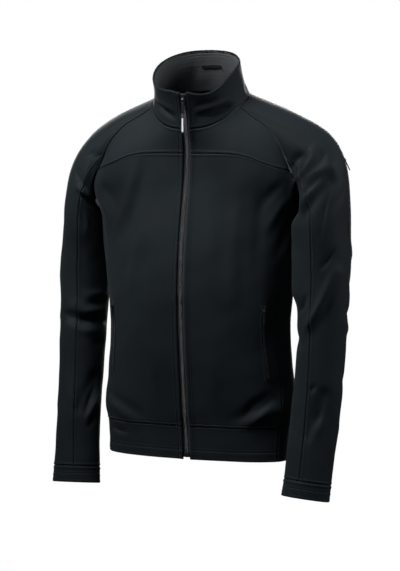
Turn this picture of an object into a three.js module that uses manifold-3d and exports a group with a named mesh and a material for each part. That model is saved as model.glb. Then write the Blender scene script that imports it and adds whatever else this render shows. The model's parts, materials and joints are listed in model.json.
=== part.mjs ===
// Softshell jacket with raglan sleeves, filled out and closed, in millimetres.
// +Z is up, +X is the wearer's left, the front faces -Y, and the origin is the
// middle of the neck at the height where the shoulders meet the collar.
import * as THREE from 'three';
import { mergeVertices } from 'three/addons/utils/BufferGeometryUtils.js';
import Module from 'manifold-3d';

const wasm = await Module();
wasm.setup();

// Driving sizes
const CLOTH = 2.0;            // thickness of the bonded shell cloth
const LINER = 1.5;            // inner layer of the collar
const SEAM_GAP = 0.32;        // gap between two panels at a seam
const SQUARENESS = 2.3;       // exponent of the body's rounded section
const UNDERARM = -189;        // height of the underarm point
const BAND_TOP = -645;        // seam between the body and the hem band
const HEM = -712;             // lower edge of the jacket
const ZIP_HALF = 7;           // half of the zip strip that shows between the fronts
const TAPE_HALF = 17;         // half width of the whole zip tape
const TAPE = 1.1;             // thickness of a zip tape
const TAPE_DEPTH = 2.6;       // how far the tape lies behind the face of the fronts
const PIECE_GAP = 0.3;        // gap between a fitting and what it lies on
const NECK = { halfWidth: 98, halfDepth: 86, middle: 8 };
const COLLAR_TOP = { halfWidth: 89, halfDepth: 80, middle: -16, height: 52, rise: 41.5 };
const RAGLAN_FRONT_ANGLE = 68;   // where the front raglan seam meets the neck
const RAGLAN_BACK_ANGLE = 120;   // where the back raglan seam meets the neck
const COLLAR_SEAM = 0.008;       // share of the collar's height kept free at the neck seam
const CUFF_START = 1.935;        // place of the cuff seam along the sleeve, of 1 to 2

// Sections of the body: greatest half width, and how far the middle of the front and of the
// back stand from the origin, with the depth at which the section is widest
const BODY = [
  { z: -712, halfWidth: 188, front: 73, back: 93, middle: -13 },
  { z: -680, halfWidth: 190, front: 76, back: 95, middle: -12 },
  { z: -645, halfWidth: 192, front: 80, back: 97, middle: -10 },
  { z: -620, halfWidth: 198, front: 86, back: 101, middle: -8 },
  { z: -575, halfWidth: 198, front: 91, back: 100, middle: -5 },
  { z: -525, halfWidth: 193, front: 98, back: 95, middle: -4 },
  { z: -455, halfWidth: 187, front: 105.5, back: 92, middle: -3 },
  { z: -410, halfWidth: 189, front: 108, back: 95, middle: -1 },
  { z: -365, halfWidth: 194, front: 109, back: 100, middle: 0 },
  { z: -290, halfWidth: 202, front: 102, back: 108, middle: 2 },
  { z: -250, halfWidth: 205, front: 95, back: 111, middle: 2 },
  { z: -215, halfWidth: 213, front: 88, back: 112, middle: 0 },
  { z: -189, halfWidth: 225, front: 81, back: 112, middle: -2 },
];
// The side seam runs a little in front of the side, as an angle from the middle of the front
const SIDE_SEAM = [
  { z: -712, angle: 66 }, { z: -365, angle: 68 }, { z: -300, angle: 71 },
  { z: -230, angle: 81 }, { z: -189, angle: 90 },
];
// Height of the neck seam round the neck, as an angle from the middle of the front
const NECK_SEAM = [
  { angle: 0, z: -60 }, { angle: 25, z: -54 }, { angle: 45, z: -39 }, { angle: 68, z: -16 },
  { angle: 90, z: 0 }, { angle: 120, z: 11 }, { angle: 150, z: 16 }, { angle: 180, z: 18 },
];
// Middle of the front beside the zip, and middle of the back, from the underarm up
const FRONT_LINE = [
  { x: 7, y: -81, z: -189 }, { x: 7, y: -74, z: -145 }, { x: 7, y: -71.5, z: -105 },
  { x: 7, y: -74, z: -80 }, { x: 7, y: -77.8, z: -60 },
];
const BACK_LINE = [
  { x: 0, y: 112, z: -189 }, { x: 0, y: 114, z: -150 }, { x: 0, y: 112, z: -100 },
  { x: 0, y: 106, z: -50 }, { x: 0, y: 99, z: -10 }, { x: 0, y: 94, z: 18 },
];
// Raglan seams of the left side, from the underarm up to the neck
const RAGLAN_FRONT = [
  { x: 225, y: -2, z: -189 }, { x: 221, y: -20, z: -173 }, { x: 212, y: -32, z: -156 },
  { x: 203, y: -37, z: -140 }, { x: 188, y: -39, z: -106 }, { x: 176, y: -38, z: -84 },
  { x: 161, y: -36, z: -65 }, { x: 145, y: -33, z: -50 }, { x: 121, y: -29, z: -36 },
  { x: 104, y: -26, z: -25 }, { x: 90.9, y: -24.2, z: -16 },
];
const RAGLAN_BACK = [
  { x: 225, y: -2, z: -189 }, { x: 222, y: 22, z: -176 }, { x: 212, y: 46, z: -152 },
  { x: 196, y: 66, z: -117 }, { x: 172, y: 77, z: -80 }, { x: 142, y: 79, z: -46 },
  { x: 112, y: 70, z: -14 }, { x: 84.9, y: 51, z: 11 },
];
// Height of the chest seam against the distance from the zip
const CHEST_SEAM = [
  { x: 0, z: -107 }, { x: 94, z: -108 }, { x: 131, z: -115 }, { x: 150, z: -123 },
  { x: 182, z: -134 }, { x: 205, z: -141 },
];
// How the sleeve leaves the raglan seam: place round the seam (0 and 1 are the underarm, the
// front comes first), direction, and how far it keeps to that direction and to the arm's
const SHOULDER = [
  { around: 0.00, dx: 0.62, dy: 0.00, dz: -0.78, leave: 14, arrive: 22 },
  { around: 0.08, dx: 0.50, dy: -0.30, dz: -0.80, leave: 22, arrive: 28 },
  { around: 0.18, dx: 0.80, dy: -0.20, dz: -0.55, leave: 48, arrive: 55 },
  { around: 0.30, dx: 0.92, dy: -0.05, dz: -0.40, leave: 80, arrive: 85 },
  { around: 0.40, dx: 0.93, dy: -0.03, dz: -0.35, leave: 145, arrive: 140 },
  { around: 0.50, dx: 0.94, dy: 0.00, dz: -0.32, leave: 198, arrive: 188 },
  { around: 0.60, dx: 0.92, dy: 0.02, dz: -0.38, leave: 145, arrive: 140 },
  { around: 0.72, dx: 0.86, dy: 0.05, dz: -0.50, leave: 75, arrive: 80 },
  { around: 0.84, dx: 0.75, dy: 0.10, dz: -0.65, leave: 42, arrive: 48 },
  { around: 0.93, dx: 0.50, dy: 0.15, dz: -0.85, leave: 18, arrive: 28 },
  { around: 1.00, dx: 0.62, dy: 0.00, dz: -0.78, leave: 14, arrive: 22 },
];
// Where a place round the raglan seam comes out round the arm
const ROUND_ARM = [
  { around: 0, arm: 0 }, { around: 0.18, arm: 0.228 }, { around: 0.45, arm: 0.42 },
  { around: 0.5, arm: 0.5 }, { around: 0.55, arm: 0.58 }, { around: 0.82, arm: 0.772 },
  { around: 1, arm: 1 },
];
// Middle line and half sizes of each arm, drawn on the left side, from the upper arm to the end
// of the cuff. The right arm hangs a little further back.
const ARM_LEFT = [
  { along: 1.00, x: 261, y: -4, z: -250, halfWidth: 50, halfDepth: 68 },
  { along: 1.10, x: 262, y: -6, z: -303, halfWidth: 51, halfDepth: 62 },
  { along: 1.20, x: 262, y: -9, z: -356, halfWidth: 51, halfDepth: 57 },
  { along: 1.30, x: 261, y: -12, z: -409, halfWidth: 50, halfDepth: 53 },
  { along: 1.40, x: 260, y: -16, z: -462, halfWidth: 49, halfDepth: 50 },
  { along: 1.55, x: 258, y: -25, z: -541, halfWidth: 49, halfDepth: 45 },
  { along: 1.70, x: 254, y: -36, z: -620, halfWidth: 48.5, halfDepth: 40 },
  { along: 1.85, x: 249, y: -49, z: -699, halfWidth: 48, halfDepth: 35 },
  { along: 2.00, x: 243, y: -62, z: -776, halfWidth: 48, halfDepth: 31 },
];
const ARM_RIGHT = [
  { along: 1.00, x: 253.5, y: 22, z: -250, halfWidth: 45.5, halfDepth: 68 },
  { along: 1.10, x: 256, y: 20, z: -303, halfWidth: 49, halfDepth: 62 },
  { along: 1.20, x: 257, y: 14, z: -356, halfWidth: 51, halfDepth: 57 },
  { along: 1.30, x: 255, y: 6, z: -409, halfWidth: 49, halfDepth: 53 },
  { along: 1.40, x: 254, y: -4, z: -462, halfWidth: 47.5, halfDepth: 50 },
  { along: 1.55, x: 252, y: -18, z: -541, halfWidth: 46, halfDepth: 45 },
  { along: 1.70, x: 250, y: -34, z: -620, halfWidth: 45, halfDepth: 40 },
  { along: 1.85, x: 248, y: -49, z: -699, halfWidth: 47, halfDepth: 35 },
  { along: 2.00, x: 245.5, y: -62, z: -776, halfWidth: 50, halfDepth: 31 },
];
const RIGHT_SHOULDER = 0.8;   // how full the right shoulder is, of the left one
// Largest folds: a line on the cloth, how far it reaches to each side, and its height out of
// the cloth (below zero for a hollow). The side is 1 for the left, -1 for the right, 0 for both,
// and a fold with a part lies on that part alone.
const FOLDS = [
  { name: 'full inner sleeve', side: 1, part: 'sleeve', from: [216, -36, -248], to: [216, -40, -372],
    reach: 23, out: 13 },
  { name: 'armpit hollow', side: 0, from: [222, -52, -112], to: [228, -62, -176], reach: 15, out: -7 },
  { name: 'armpit ridge', side: 0, from: [242, -48, -100], to: [232, -66, -205], reach: 14, out: 6 },
  { name: 'upper sleeve ridge', side: 0, from: [283, -40, -132], to: [242, -72, -195], reach: 12, out: 5 },
  { name: 'upper sleeve crease', side: 0, from: [285, -45, -158], to: [238, -74, -222], reach: 11, out: -5 },
  { name: 'elbow crease', side: -1, from: [228, -50, -446], to: [280, -54, -436], reach: 12, out: -6 },
  { name: 'elbow ridge', side: -1, from: [225, -52, -420], to: [268, -62, -418], reach: 15, out: 6 },
  { name: 'elbow ridge', side: 1, from: [296, -42, -335], to: [250, -64, -432], reach: 14, out: 5 },
  { name: 'elbow notch', side: 1, from: [212, -30, -462], to: [222, -52, -476], reach: 12, out: -5 },
  { name: 'forearm crease', side: -1, from: [214, -42, -560], to: [238, -66, -622], reach: 12, out: -5 },
  { name: 'forearm crease', side: 1, from: [282, -66, -570], to: [252, -76, -650], reach: 12, out: -4 },
  { name: 'back elbow crease', side: 0, from: [232, 36, -420], to: [285, 38, -440], reach: 14, out: -5 },
  { name: 'back sleeve ridge', side: 0, from: [240, 60, -235], to: [292, 40, -300], reach: 16, out: 4 },
  { name: 'hem drape crease', side: 0, from: [100, -88, -628], to: [176, -60, -590], reach: 12, out: -4 },
  { name: 'hem drape ridge', side: 0, from: [120, -84, -640], to: [178, -50, -607], reach: 12, out: 4 },
  { name: 'waist hollow', side: 0, from: [196, -20, -330], to: [186, -30, -560], reach: 24, out: -4 },
  { name: 'blade fold', side: 0, from: [150, 92, -190], to: [176, 62, -300], reach: 20, out: -5 },
  { name: 'back waist ridge', side: 0, from: [60, 92, -470], to: [150, 70, -520], reach: 22, out: 4 },
  { name: 'back hem crease', side: 0, from: [70, 102, -612], to: [160, 78, -590], reach: 16, out: -4 },
  { name: 'collar crease', side: 1, from: [34, -80, -36], to: [78, -48, -20], reach: 9, out: -3.5 },
  { name: 'collar crease', side: -1, from: [30, -86, -34], to: [80, -52, -8], reach: 9, out: -3.5 },
];

// Zip sliders, each with a bridge that holds its pull tab by an eye. The plate lies on the tape.
const MAIN_SLIDER = { width: 10.5, height: 17, thick: 2.8, bridge: 3.6, hole: 1.7, rim: 1.3 };
const SMALL_SLIDER = { width: 7, height: 10, thick: 1.8, bridge: 2.6, hole: 1.4, rim: 1.0 };
const MAIN_PULL = { width: 8, thick: 1.6, eye: 6, neck: 4.6, length: 27 };
const SMALL_PULL = { width: 6, thick: 1.4, eye: 5, neck: 3.6, length: 24 };
const STRIP = { width: 5.6, thick: 2.4, length: 38 };   // light strip on the end of the main pull
const SLIDER_UP = 0.84;       // place of the main slider up the collar
const BOTTOM_BOX = { width: 9, height: 9, thick: 3.2, rise: 5 };
const POCKET = { top: -404, bottom: -545, topAngle: 53, bottomAngle: 54.5, halfWidth: 4 };
const POCKET_STRIP = 1.0;     // thickness of a pocket's zip strip
const SLEEVE_POCKET = { top: -112, bottom: -262, around: 0.494, halfWidth: 4 };
const LOOP = { angle: 14, low: 0.56, high: 0.65, thick: 1.0 };    // hanger loop in the collar

// Number of steps of the wall grids
const FRONT_COLUMNS = 9;
const BACK_COLUMNS = 16;
const BODY_ROWS = 13;
const ARMHOLE_ROWS = 4;       // front rows from the underarm up to the chest seam
const YOKE_ROWS = 6;
const BACK_ROWS = 10;         // back rows from the underarm up to the neck
const NECK_COLUMNS = 3;       // steps of the sleeve's short edge at the neck
const SHOULDER_ROWS = 7;
const ARM_ROWS = 18;
const COLLAR_ROWS = 4;

// Colours of the finishes
const FINISH = {
  shell: { color: 0x23262a, roughness: 0.85, metalness: 0 },
  liner: { color: 0x1d1f22, roughness: 0.95, metalness: 0 },
  tape: { color: 0x4a4d52, roughness: 0.7, metalness: 0 },
  metal: { color: 0x5a5d60, roughness: 0.35, metalness: 0.9 },
  rubber: { color: 0x8d9093, roughness: 0.6, metalness: 0 },
};

const vec = (x, y, z) => new THREE.Vector3(x, y, z);
const asVec = (p) => vec(p.x, p.y, p.z);
const clamp01 = (v) => Math.min(1, Math.max(0, v));
const smooth = (v) => clamp01(v) ** 2 * (3 - 2 * clamp01(v));
const lerp = (a, b, t) => a + (b - a) * t;
const steps = (n) => Array.from({ length: n + 1 }, (_, i) => i / n);

// Smooth value of a table's column at a place along its key column
function read(rows, key, column, at) {
  const last = rows.length - 1;
  const up = rows[0][key] < rows[last][key];
  const place = Math.min(Math.max(at, Math.min(rows[0][key], rows[last][key])),
    Math.max(rows[0][key], rows[last][key]));
  let i = 0;
  while (i < last - 1 && (up ? place > rows[i + 1][key] : place < rows[i + 1][key])) i += 1;
  const slope = (j) => {
    const a = rows[Math.max(j - 1, 0)];
    const b = rows[Math.min(j + 1, last)];
    return (b[column] - a[column]) / (b[key] - a[key]);
  };
  const [a, b] = [rows[i], rows[i + 1]];
  const span = b[key] - a[key];
  const t = (place - a[key]) / span;
  const t2 = t * t;
  const t3 = t2 * t;
  return (2 * t3 - 3 * t2 + 1) * a[column] + (t3 - 2 * t2 + t) * span * slope(i)
    + (3 * t2 - 2 * t3) * b[column] + (t3 - t2) * span * slope(i + 1);
}

// Point on a smooth line through points, at a share of its length
function along(points, share) {
  let length = 0;
  const rows = points.map((p, i) => {
    if (i) length += asVec(p).distanceTo(asVec(points[i - 1]));
    return { at: length, x: p.x, y: p.y, z: p.z };
  });
  const at = clamp01(share) * length;
  return vec(read(rows, 'at', 'x', at), read(rows, 'at', 'y', at), read(rows, 'at', 'z', at));
}

// Body below the underarm: a rounded section at each height
function body(angle, z) {
  const s = Math.sin(THREE.MathUtils.degToRad(angle));
  const c = Math.cos(THREE.MathUtils.degToRad(angle));
  const k = (Math.abs(s) ** SQUARENESS + Math.abs(c) ** SQUARENESS) ** (-1 / SQUARENESS);
  const middle = read(BODY, 'z', 'middle', z);
  const depth = c > 0 ? middle + read(BODY, 'z', 'front', z) : read(BODY, 'z', 'back', z) - middle;
  return vec(read(BODY, 'z', 'halfWidth', z) * s * k, middle - depth * c * k, z);
}

// Angle of the front panel's edge beside the zip
function zipAngle(z) {
  return THREE.MathUtils.radToDeg(Math.asin(ZIP_HALF / read(BODY, 'z', 'halfWidth', z)));
}

function neck(angle) {
  const a = THREE.MathUtils.degToRad(angle);
  return vec(NECK.halfWidth * Math.sin(a), NECK.middle - NECK.halfDepth * Math.cos(a),
    read(NECK_SEAM, 'angle', 'z', Math.abs(angle)));
}

const ZIP_NECK_ANGLE = THREE.MathUtils.radToDeg(Math.asin(ZIP_HALF / NECK.halfWidth));

// Surface filled in between four edges, each a function of its own place from 0 to 1
function patch(low, high, inner, outer, across, q) {
  return low(across).multiplyScalar(1 - q).addScaledVector(high(across), q)
    .addScaledVector(inner(q), 1 - across).addScaledVector(outer(q), across)
    .addScaledVector(low(0), -(1 - across) * (1 - q)).addScaledVector(low(1), -across * (1 - q))
    .addScaledVector(high(0), -(1 - across) * q).addScaledVector(high(1), -across * q);
}

// Left front: across runs from the zip (0) to the side (1), up from the hem (0) to the
// underarm (1) and on to the neck (2)
function front(across, up) {
  if (up <= 1) {
    const z = lerp(HEM, UNDERARM, up);
    return body(lerp(zipAngle(z), read(SIDE_SEAM, 'z', 'angle', z), across), z);
  }
  return patch((t) => body(lerp(zipAngle(UNDERARM), 90, t), UNDERARM),
    (t) => neck(lerp(ZIP_NECK_ANGLE, RAGLAN_FRONT_ANGLE, t)),
    (t) => along(FRONT_LINE, t), (t) => along(RAGLAN_FRONT, t), across, up - 1);
}

// Back: across runs from the right side (-1) through the middle to the left side (1)
function back(across, up) {
  const side = Math.abs(across);
  let p;
  if (up <= 1) {
    const z = lerp(HEM, UNDERARM, up);
    p = body(lerp(180, read(SIDE_SEAM, 'z', 'angle', z), side), z);
  } else {
    p = patch((t) => body(lerp(180, 90, t), UNDERARM),
      (t) => neck(lerp(180, RAGLAN_BACK_ANGLE, t)),
      (t) => along(BACK_LINE, t), (t) => along(RAGLAN_BACK, t), side, up - 1);
  }
  return across < 0 ? p.setX(-p.x) : p;
}

// Left armhole seam: around runs from the underarm (0) up the front, past the neck (0.45 to
// 0.55) and down the back to the underarm (1)
const NECK_FROM = 0.45;
const NECK_TO = 0.55;
function armhole(around) {
  if (around < NECK_FROM) return along(RAGLAN_FRONT, around / NECK_FROM);
  if (around > NECK_TO) return along(RAGLAN_BACK, (1 - around) / (1 - NECK_TO));
  const share = (around - NECK_FROM) / (NECK_TO - NECK_FROM);
  return neck(lerp(RAGLAN_FRONT_ANGLE, RAGLAN_BACK_ANGLE, share));
}

// Section of an arm, square to its middle line
function armRing(arm, turn, at) {
  const middle = (t) => vec(read(arm, 'along', 'x', t), read(arm, 'along', 'y', t),
    read(arm, 'along', 'z', t));
  const down = middle(Math.min(at + 0.02, 2)).sub(middle(Math.max(at - 0.02, 1))).normalize();
  const level = at <= 1 ? vec(0, 0, -1) : down.lerp(vec(0, 0, -1), 1 - smooth((at - 1) / 0.3));
  const out = vec(1, 0, 0).addScaledVector(level, -level.x).normalize();
  const rear = new THREE.Vector3().crossVectors(out, level).normalize();
  const angle = 2 * Math.PI * turn;
  return middle(at).addScaledVector(out, -read(arm, 'along', 'halfWidth', at) * Math.cos(angle))
    .addScaledVector(rear, -read(arm, 'along', 'halfDepth', at) * Math.sin(angle));
}

// Sleeve, drawn on the left side: down runs from the armhole seam (0) over the shoulder to the
// arm (1) and on to the end of the cuff (2)
function sleeve(around, down, side) {
  const arm = side > 0 ? ARM_LEFT : ARM_RIGHT;
  const turn = read(ROUND_ARM, 'around', 'arm', around);
  if (down >= 1) return armRing(arm, turn, down);
  const full = side > 0 ? 1 : lerp(1, RIGHT_SHOULDER, Math.sin(Math.PI * turn) ** 2);
  const leave = full * read(SHOULDER, 'around', 'leave', around);
  const arrive = full * read(SHOULDER, 'around', 'arrive', around);
  const direction = vec(read(SHOULDER, 'around', 'dx', around),
    read(SHOULDER, 'around', 'dy', around), read(SHOULDER, 'around', 'dz', around)).normalize();
  const start = armhole(around);
  const end = armRing(arm, turn, 1);
  return new THREE.CubicBezierCurve3(start, start.clone().addScaledVector(direction, leave),
    end.clone().add(vec(0, 0, arrive)), end).getPoint(down);
}

// Stand collar: angle from the middle of the front, up from the neck seam (0) to the top (1)
function collar(angle, up) {
  const a = THREE.MathUtils.degToRad(angle);
  const top = COLLAR_TOP;
  const back = -Math.cos(a);
  const high = vec(top.halfWidth * Math.sin(a), top.middle + top.halfDepth * back,
    top.height + top.rise * back);
  const waist = 3 * Math.sin(Math.PI * up);
  return neck(angle).lerp(high, up).add(vec(-waist * Math.sin(a), waist * Math.cos(a), 0));
}

// Outward direction of a surface given by two places, on the side that turn names
function outward(surface, u, v, turn) {
  const h = 0.004;
  const du = surface(u + h, v).sub(surface(u - h, v));
  const dv = surface(u, v + h).sub(surface(u, v - h));
  return du.cross(dv).multiplyScalar(turn).normalize();
}

// Height of the folds at a point of a part of the cloth
function foldHeight(p, part) {
  let height = 0;
  for (const fold of FOLDS) {
    const sign = fold.side || (p.x < 0 ? -1 : 1);
    if (sign * p.x < 0 || (fold.part && fold.part !== part)) continue;
    const from = vec(sign * fold.from[0], fold.from[1], fold.from[2]);
    const line = vec(sign * fold.to[0], fold.to[1], fold.to[2]).sub(from);
    const share = clamp01(p.clone().sub(from).dot(line) / line.lengthSq());
    const gap = p.distanceTo(from.addScaledVector(line, share));
    height += fold.out * Math.exp(-((gap / fold.reach) ** 2));
  }
  return height;
}

// Closed wall under a grid of points: rows of { point, normal }, from the first row to the last.
// lift moves its outer face out of the surface, and each free edge draws back by half a gap.
function wall(rows, { thickness = CLOTH, lift = 0, closed = false, flip = false } = {}) {
  const high = rows.length;
  const wide = rows[0].length;
  const trim = SEAM_GAP / 2;
  const drawn = rows.map((row, j) => row.map(({ point }, i) => {
    const p = point.clone();
    const pull = (other) => p.addScaledVector(other.clone().sub(point).normalize(), trim);
    if (j === 0) pull(rows[1][i].point);
    if (j === high - 1) pull(rows[high - 2][i].point);
    if (!closed && i === 0) pull(rows[j][1].point);
    if (!closed && i === wide - 1) pull(rows[j][wide - 2].point);
    return p;
  }));
  const points = [];
  for (const depth of [lift, lift - thickness]) {
    drawn.forEach((row, j) => row.forEach((p, i) => {
      points.push(p.clone().addScaledVector(rows[j][i].normal, depth));
    }));
  }
  const at = (side, j, i) => side * high * wide + j * wide + (i % wide);
  const faces = [];
  const quad = (a, b, c, d) => faces.push(...(flip ? [a, c, b, a, d, c] : [a, b, c, a, c, d]));
  const columns = closed ? wide : wide - 1;
  for (let j = 0; j < high - 1; j += 1) {
    for (let i = 0; i < columns; i += 1) {
      quad(at(0, j, i), at(0, j, i + 1), at(0, j + 1, i + 1), at(0, j + 1, i));
      quad(at(1, j, i), at(1, j + 1, i), at(1, j + 1, i + 1), at(1, j, i + 1));
    }
  }
  for (let i = 0; i < columns; i += 1) {
    quad(at(0, 0, i), at(1, 0, i), at(1, 0, i + 1), at(0, 0, i + 1));
    quad(at(0, high - 1, i), at(0, high - 1, i + 1), at(1, high - 1, i + 1), at(1, high - 1, i));
  }
  if (!closed) {
    for (let j = 0; j < high - 1; j += 1) {
      quad(at(0, j, 0), at(0, j + 1, 0), at(1, j + 1, 0), at(1, j, 0));
      quad(at(0, j, wide - 1), at(1, j, wide - 1), at(1, j + 1, wide - 1), at(0, j + 1, wide - 1));
    }
  }
  const geometry = new THREE.BufferGeometry();
  geometry.setAttribute('position',
    new THREE.Float32BufferAttribute(points.flatMap((p) => [p.x, p.y, p.z]), 3));
  geometry.setIndex(faces);
  return geometry;
}

// Rows of a panel: a surface read at each up and across, with its folds, mirrored for the right
function panelRows(surface, ups, acrosses, side, normalAt, part) {
  return ups.map((up) => acrosses.map((across) => {
    const normal = normalAt(across, up);
    const point = surface(across, up);
    point.x *= side;
    normal.x *= side;
    point.addScaledVector(normal, foldHeight(point, part));
    return { point, normal };
  }));
}

// Place on a panel's flat facets, counted in its columns and rows
function gridAt(rows, column, row) {
  const j = Math.min(Math.floor(row), rows.length - 2);
  const i = Math.min(Math.floor(column), rows[0].length - 2);
  const [u, v] = [column - i, row - j];
  const mix = (key) => rows[j][i][key].clone().lerp(rows[j][i + 1][key], u)
    .lerp(rows[j + 1][i][key].clone().lerp(rows[j + 1][i + 1][key], u), v);
  return { point: mix('point'), normal: mix('normal').normalize() };
}

// Rows of a narrow strip that lies on a panel, between two of its rows
function stripRows(rows, columnAt, fromRow, toRow, halfWidth) {
  const between = steps(rows.length - 1).map((t) => t * (rows.length - 1))
    .filter((r) => r > fromRow + 0.1 && r < toRow - 0.1);
  return [fromRow, ...between, toRow].map((row) => {
    const column = columnAt(row);
    const side = gridAt(rows, column + 0.2, row).point;
    const width = side.distanceTo(gridAt(rows, column - 0.2, row).point) / 0.4;
    return [-1, 0, 1].map((k) => gridAt(rows, column + (k * halfWidth) / width, row));
  });
}

// Closed solid made from a three.js geometry, for cutting and joining
function solid(geometry) {
  const bare = geometry.clone();
  bare.deleteAttribute('normal');
  bare.deleteAttribute('uv');
  const merged = mergeVertices(bare, 1e-4);
  return new wasm.Manifold(new wasm.Mesh({
    numProp: 3,
    vertProperties: new Float32Array(merged.attributes.position.array),
    triVerts: new Uint32Array(merged.index.array),
  }));
}

function geometryOf(manifold) {
  const mesh = manifold.getMesh();
  const geometry = new THREE.BufferGeometry();
  geometry.setAttribute('position', new THREE.BufferAttribute(mesh.vertProperties, 3));
  geometry.setIndex(new THREE.BufferAttribute(mesh.triVerts, 1));
  return geometry;
}

// Slider with its back on y = 0, facing -Y: a waisted plate and a bridge with a round hole
function sliderGeometry(size) {
  const { width, height, thick, bridge, hole, rim } = size;
  const outline = new THREE.Shape();
  outline.moveTo(-width / 2, height / 2);
  outline.lineTo(-width / 2, 0);
  outline.lineTo(-width / 3, -height / 2);
  outline.lineTo(width / 3, -height / 2);
  outline.lineTo(width / 2, 0);
  outline.lineTo(width / 2, height / 2);
  const plate = new THREE.ExtrudeGeometry(outline, { depth: thick, bevelEnabled: false });
  plate.rotateX(Math.PI / 2);
  const axis = thick + hole + 0.4;
  const side = new THREE.Shape();
  side.moveTo(thick - 0.5, -hole - rim);
  side.lineTo(axis, -hole - rim);
  side.absarc(axis, 0, hole + rim, -Math.PI / 2, Math.PI / 2, false);
  side.lineTo(thick - 0.5, hole + rim);
  side.holes.push(new THREE.Path().absarc(axis, 0, hole, 0, 2 * Math.PI, true));
  const arch = new THREE.ExtrudeGeometry(side, { depth: bridge, bevelEnabled: false, curveSegments: 8 });
  arch.translate(0, 0, -bridge / 2);
  const turn = new THREE.Matrix4().makeBasis(vec(0, -1, 0), vec(0, 0, 1), vec(-1, 0, 0));
  arch.applyMatrix4(turn);
  return geometryOf(solid(plate).add(solid(arch)));
}

// Distance of a pull tab's axis in front of the back of its slider
const axisDepth = (size) => size.thick + size.hole + 0.4;

// Pull tab hanging from its axis at the origin: an eye round the bridge, a neck and a flat end
function pullGeometry(size) {
  const { width, thick, eye, neck: waist, length } = size;
  const bar = thick / 2;
  const outline = new THREE.Shape();
  outline.moveTo(-width / 2, bar);
  outline.lineTo(-width / 2, -eye);
  outline.lineTo(-waist / 2, -eye - 2);
  outline.lineTo(-waist / 2, -length);
  outline.lineTo(waist / 2, -length);
  outline.lineTo(waist / 2, -eye - 2);
  outline.lineTo(width / 2, -eye);
  outline.lineTo(width / 2, bar);
  const hole = new THREE.Path();
  const inside = width / 2 - 1.3;
  hole.moveTo(-inside, -bar);
  hole.lineTo(inside, -bar);
  hole.lineTo(inside, -eye + 0.6);
  hole.lineTo(-inside, -eye + 0.6);
  outline.holes.push(hole);
  const plate = new THREE.ExtrudeGeometry(outline, { depth: thick, bevelEnabled: false });
  plate.translate(0, 0, -thick / 2);
  plate.rotateX(Math.PI / 2);
  return geometryOf(solid(plate));
}

const jacket = new THREE.Group();

// Panels' grids, kept for what lies on them
const grids = {};

function add(name, geometry, finish) {
  const mesh = new THREE.Mesh(geometry, new THREE.MeshStandardMaterial(FINISH[finish]));
  mesh.name = name;
  jacket.add(mesh);
  return mesh;
}

const SIDES = [{ name: 'left', sign: 1 }, { name: 'right', sign: -1 }];

// Place across each column where the chest seam runs, as a share of the way up from the
// underarm to the neck
function chestSeamShare(across) {
  let [low, high] = [0, 1];
  for (let i = 0; i < 24; i += 1) {
    const mid = (low + high) / 2;
    const p = front(across, 1 + mid);
    if (p.z < read(CHEST_SEAM, 'x', 'z', Math.abs(p.x))) low = mid;
    else high = mid;
  }
  return (low + high) / 2;
}

const frontColumns = steps(FRONT_COLUMNS);
const bandShare = (BAND_TOP - HEM) / (UNDERARM - HEM);
const bodyUps = steps(BODY_ROWS).map((t) => lerp(bandShare, 1, t));
const seamShares = frontColumns.map(chestSeamShare);
const seamAtSide = seamShares[FRONT_COLUMNS];

// The front counted by its chest seam: from 1 to 2 is the stretch from the underarm to the
// seam, and from 2 to 3 the yoke
function frontUp(across, up) {
  if (up <= 1) return up;
  const seam = chestSeamShare(across);
  return up <= 2 ? 1 + seam * (up - 1) : 1 + lerp(seam, 1, up - 2);
}
const frontBySeam = (across, up) => front(across, frontUp(across, up));
const frontNormal = (across, up) => outward(front, Math.min(Math.max(across, 0.004), 0.996),
  Math.min(frontUp(across, up), 1.996), 1);
const backNormal = (across, up) => outward(back, Math.min(Math.max(across, -0.996), 0.996),
  Math.min(up, 1.996), -1);

function addBody() {
  for (const { name, sign } of SIDES) {
    const rows = (ups) => panelRows(frontBySeam, ups, frontColumns, sign, frontNormal);
    const flip = sign < 0;
    const armholeUps = steps(ARMHOLE_ROWS).slice(1).map((t) => 1 + t);
    grids[`front_${name}`] = rows([...bodyUps, ...armholeUps]);
    add(`front_${name}`, wall(grids[`front_${name}`], { flip }), 'shell');
    add(`yoke_${name}`, wall(rows(steps(YOKE_ROWS).map((t) => 2 + t)), { flip }), 'shell');
    add(`hem_front_${name}`, wall(rows([0, bandShare / 2, bandShare]), { flip }), 'shell');
  }
  const backColumns = steps(BACK_COLUMNS).map((t) => 2 * t - 1);
  const rows = (ups) => panelRows(back, ups, backColumns, 1, backNormal);
  const backUps = steps(BACK_ROWS).slice(1).map((t) => 1 + t);
  add('back', wall(rows([...bodyUps, ...backUps]), { flip: true }), 'shell');
  add('hem_back', wall(rows([0, bandShare / 2, bandShare]), { flip: true }), 'shell');
}

// Places round the armhole at which the body's rows meet it
const frontArounds = [
  ...steps(ARMHOLE_ROWS).map((t) => t * seamAtSide),
  ...steps(YOKE_ROWS).slice(1).map((t) => lerp(seamAtSide, 1, t)),
].map((q) => q * NECK_FROM);
const neckArounds = steps(NECK_COLUMNS).map((t) => lerp(NECK_FROM, NECK_TO, t));
const backArounds = steps(BACK_ROWS).map((t) => lerp(NECK_TO, 1, t));
const STYLE_SEAM_FRONT = ARMHOLE_ROWS + 1;    // yoke row at which the sleeve's seam starts
const STYLE_SEAM_BACK = 7;                    // back row, counted from the neck

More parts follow.
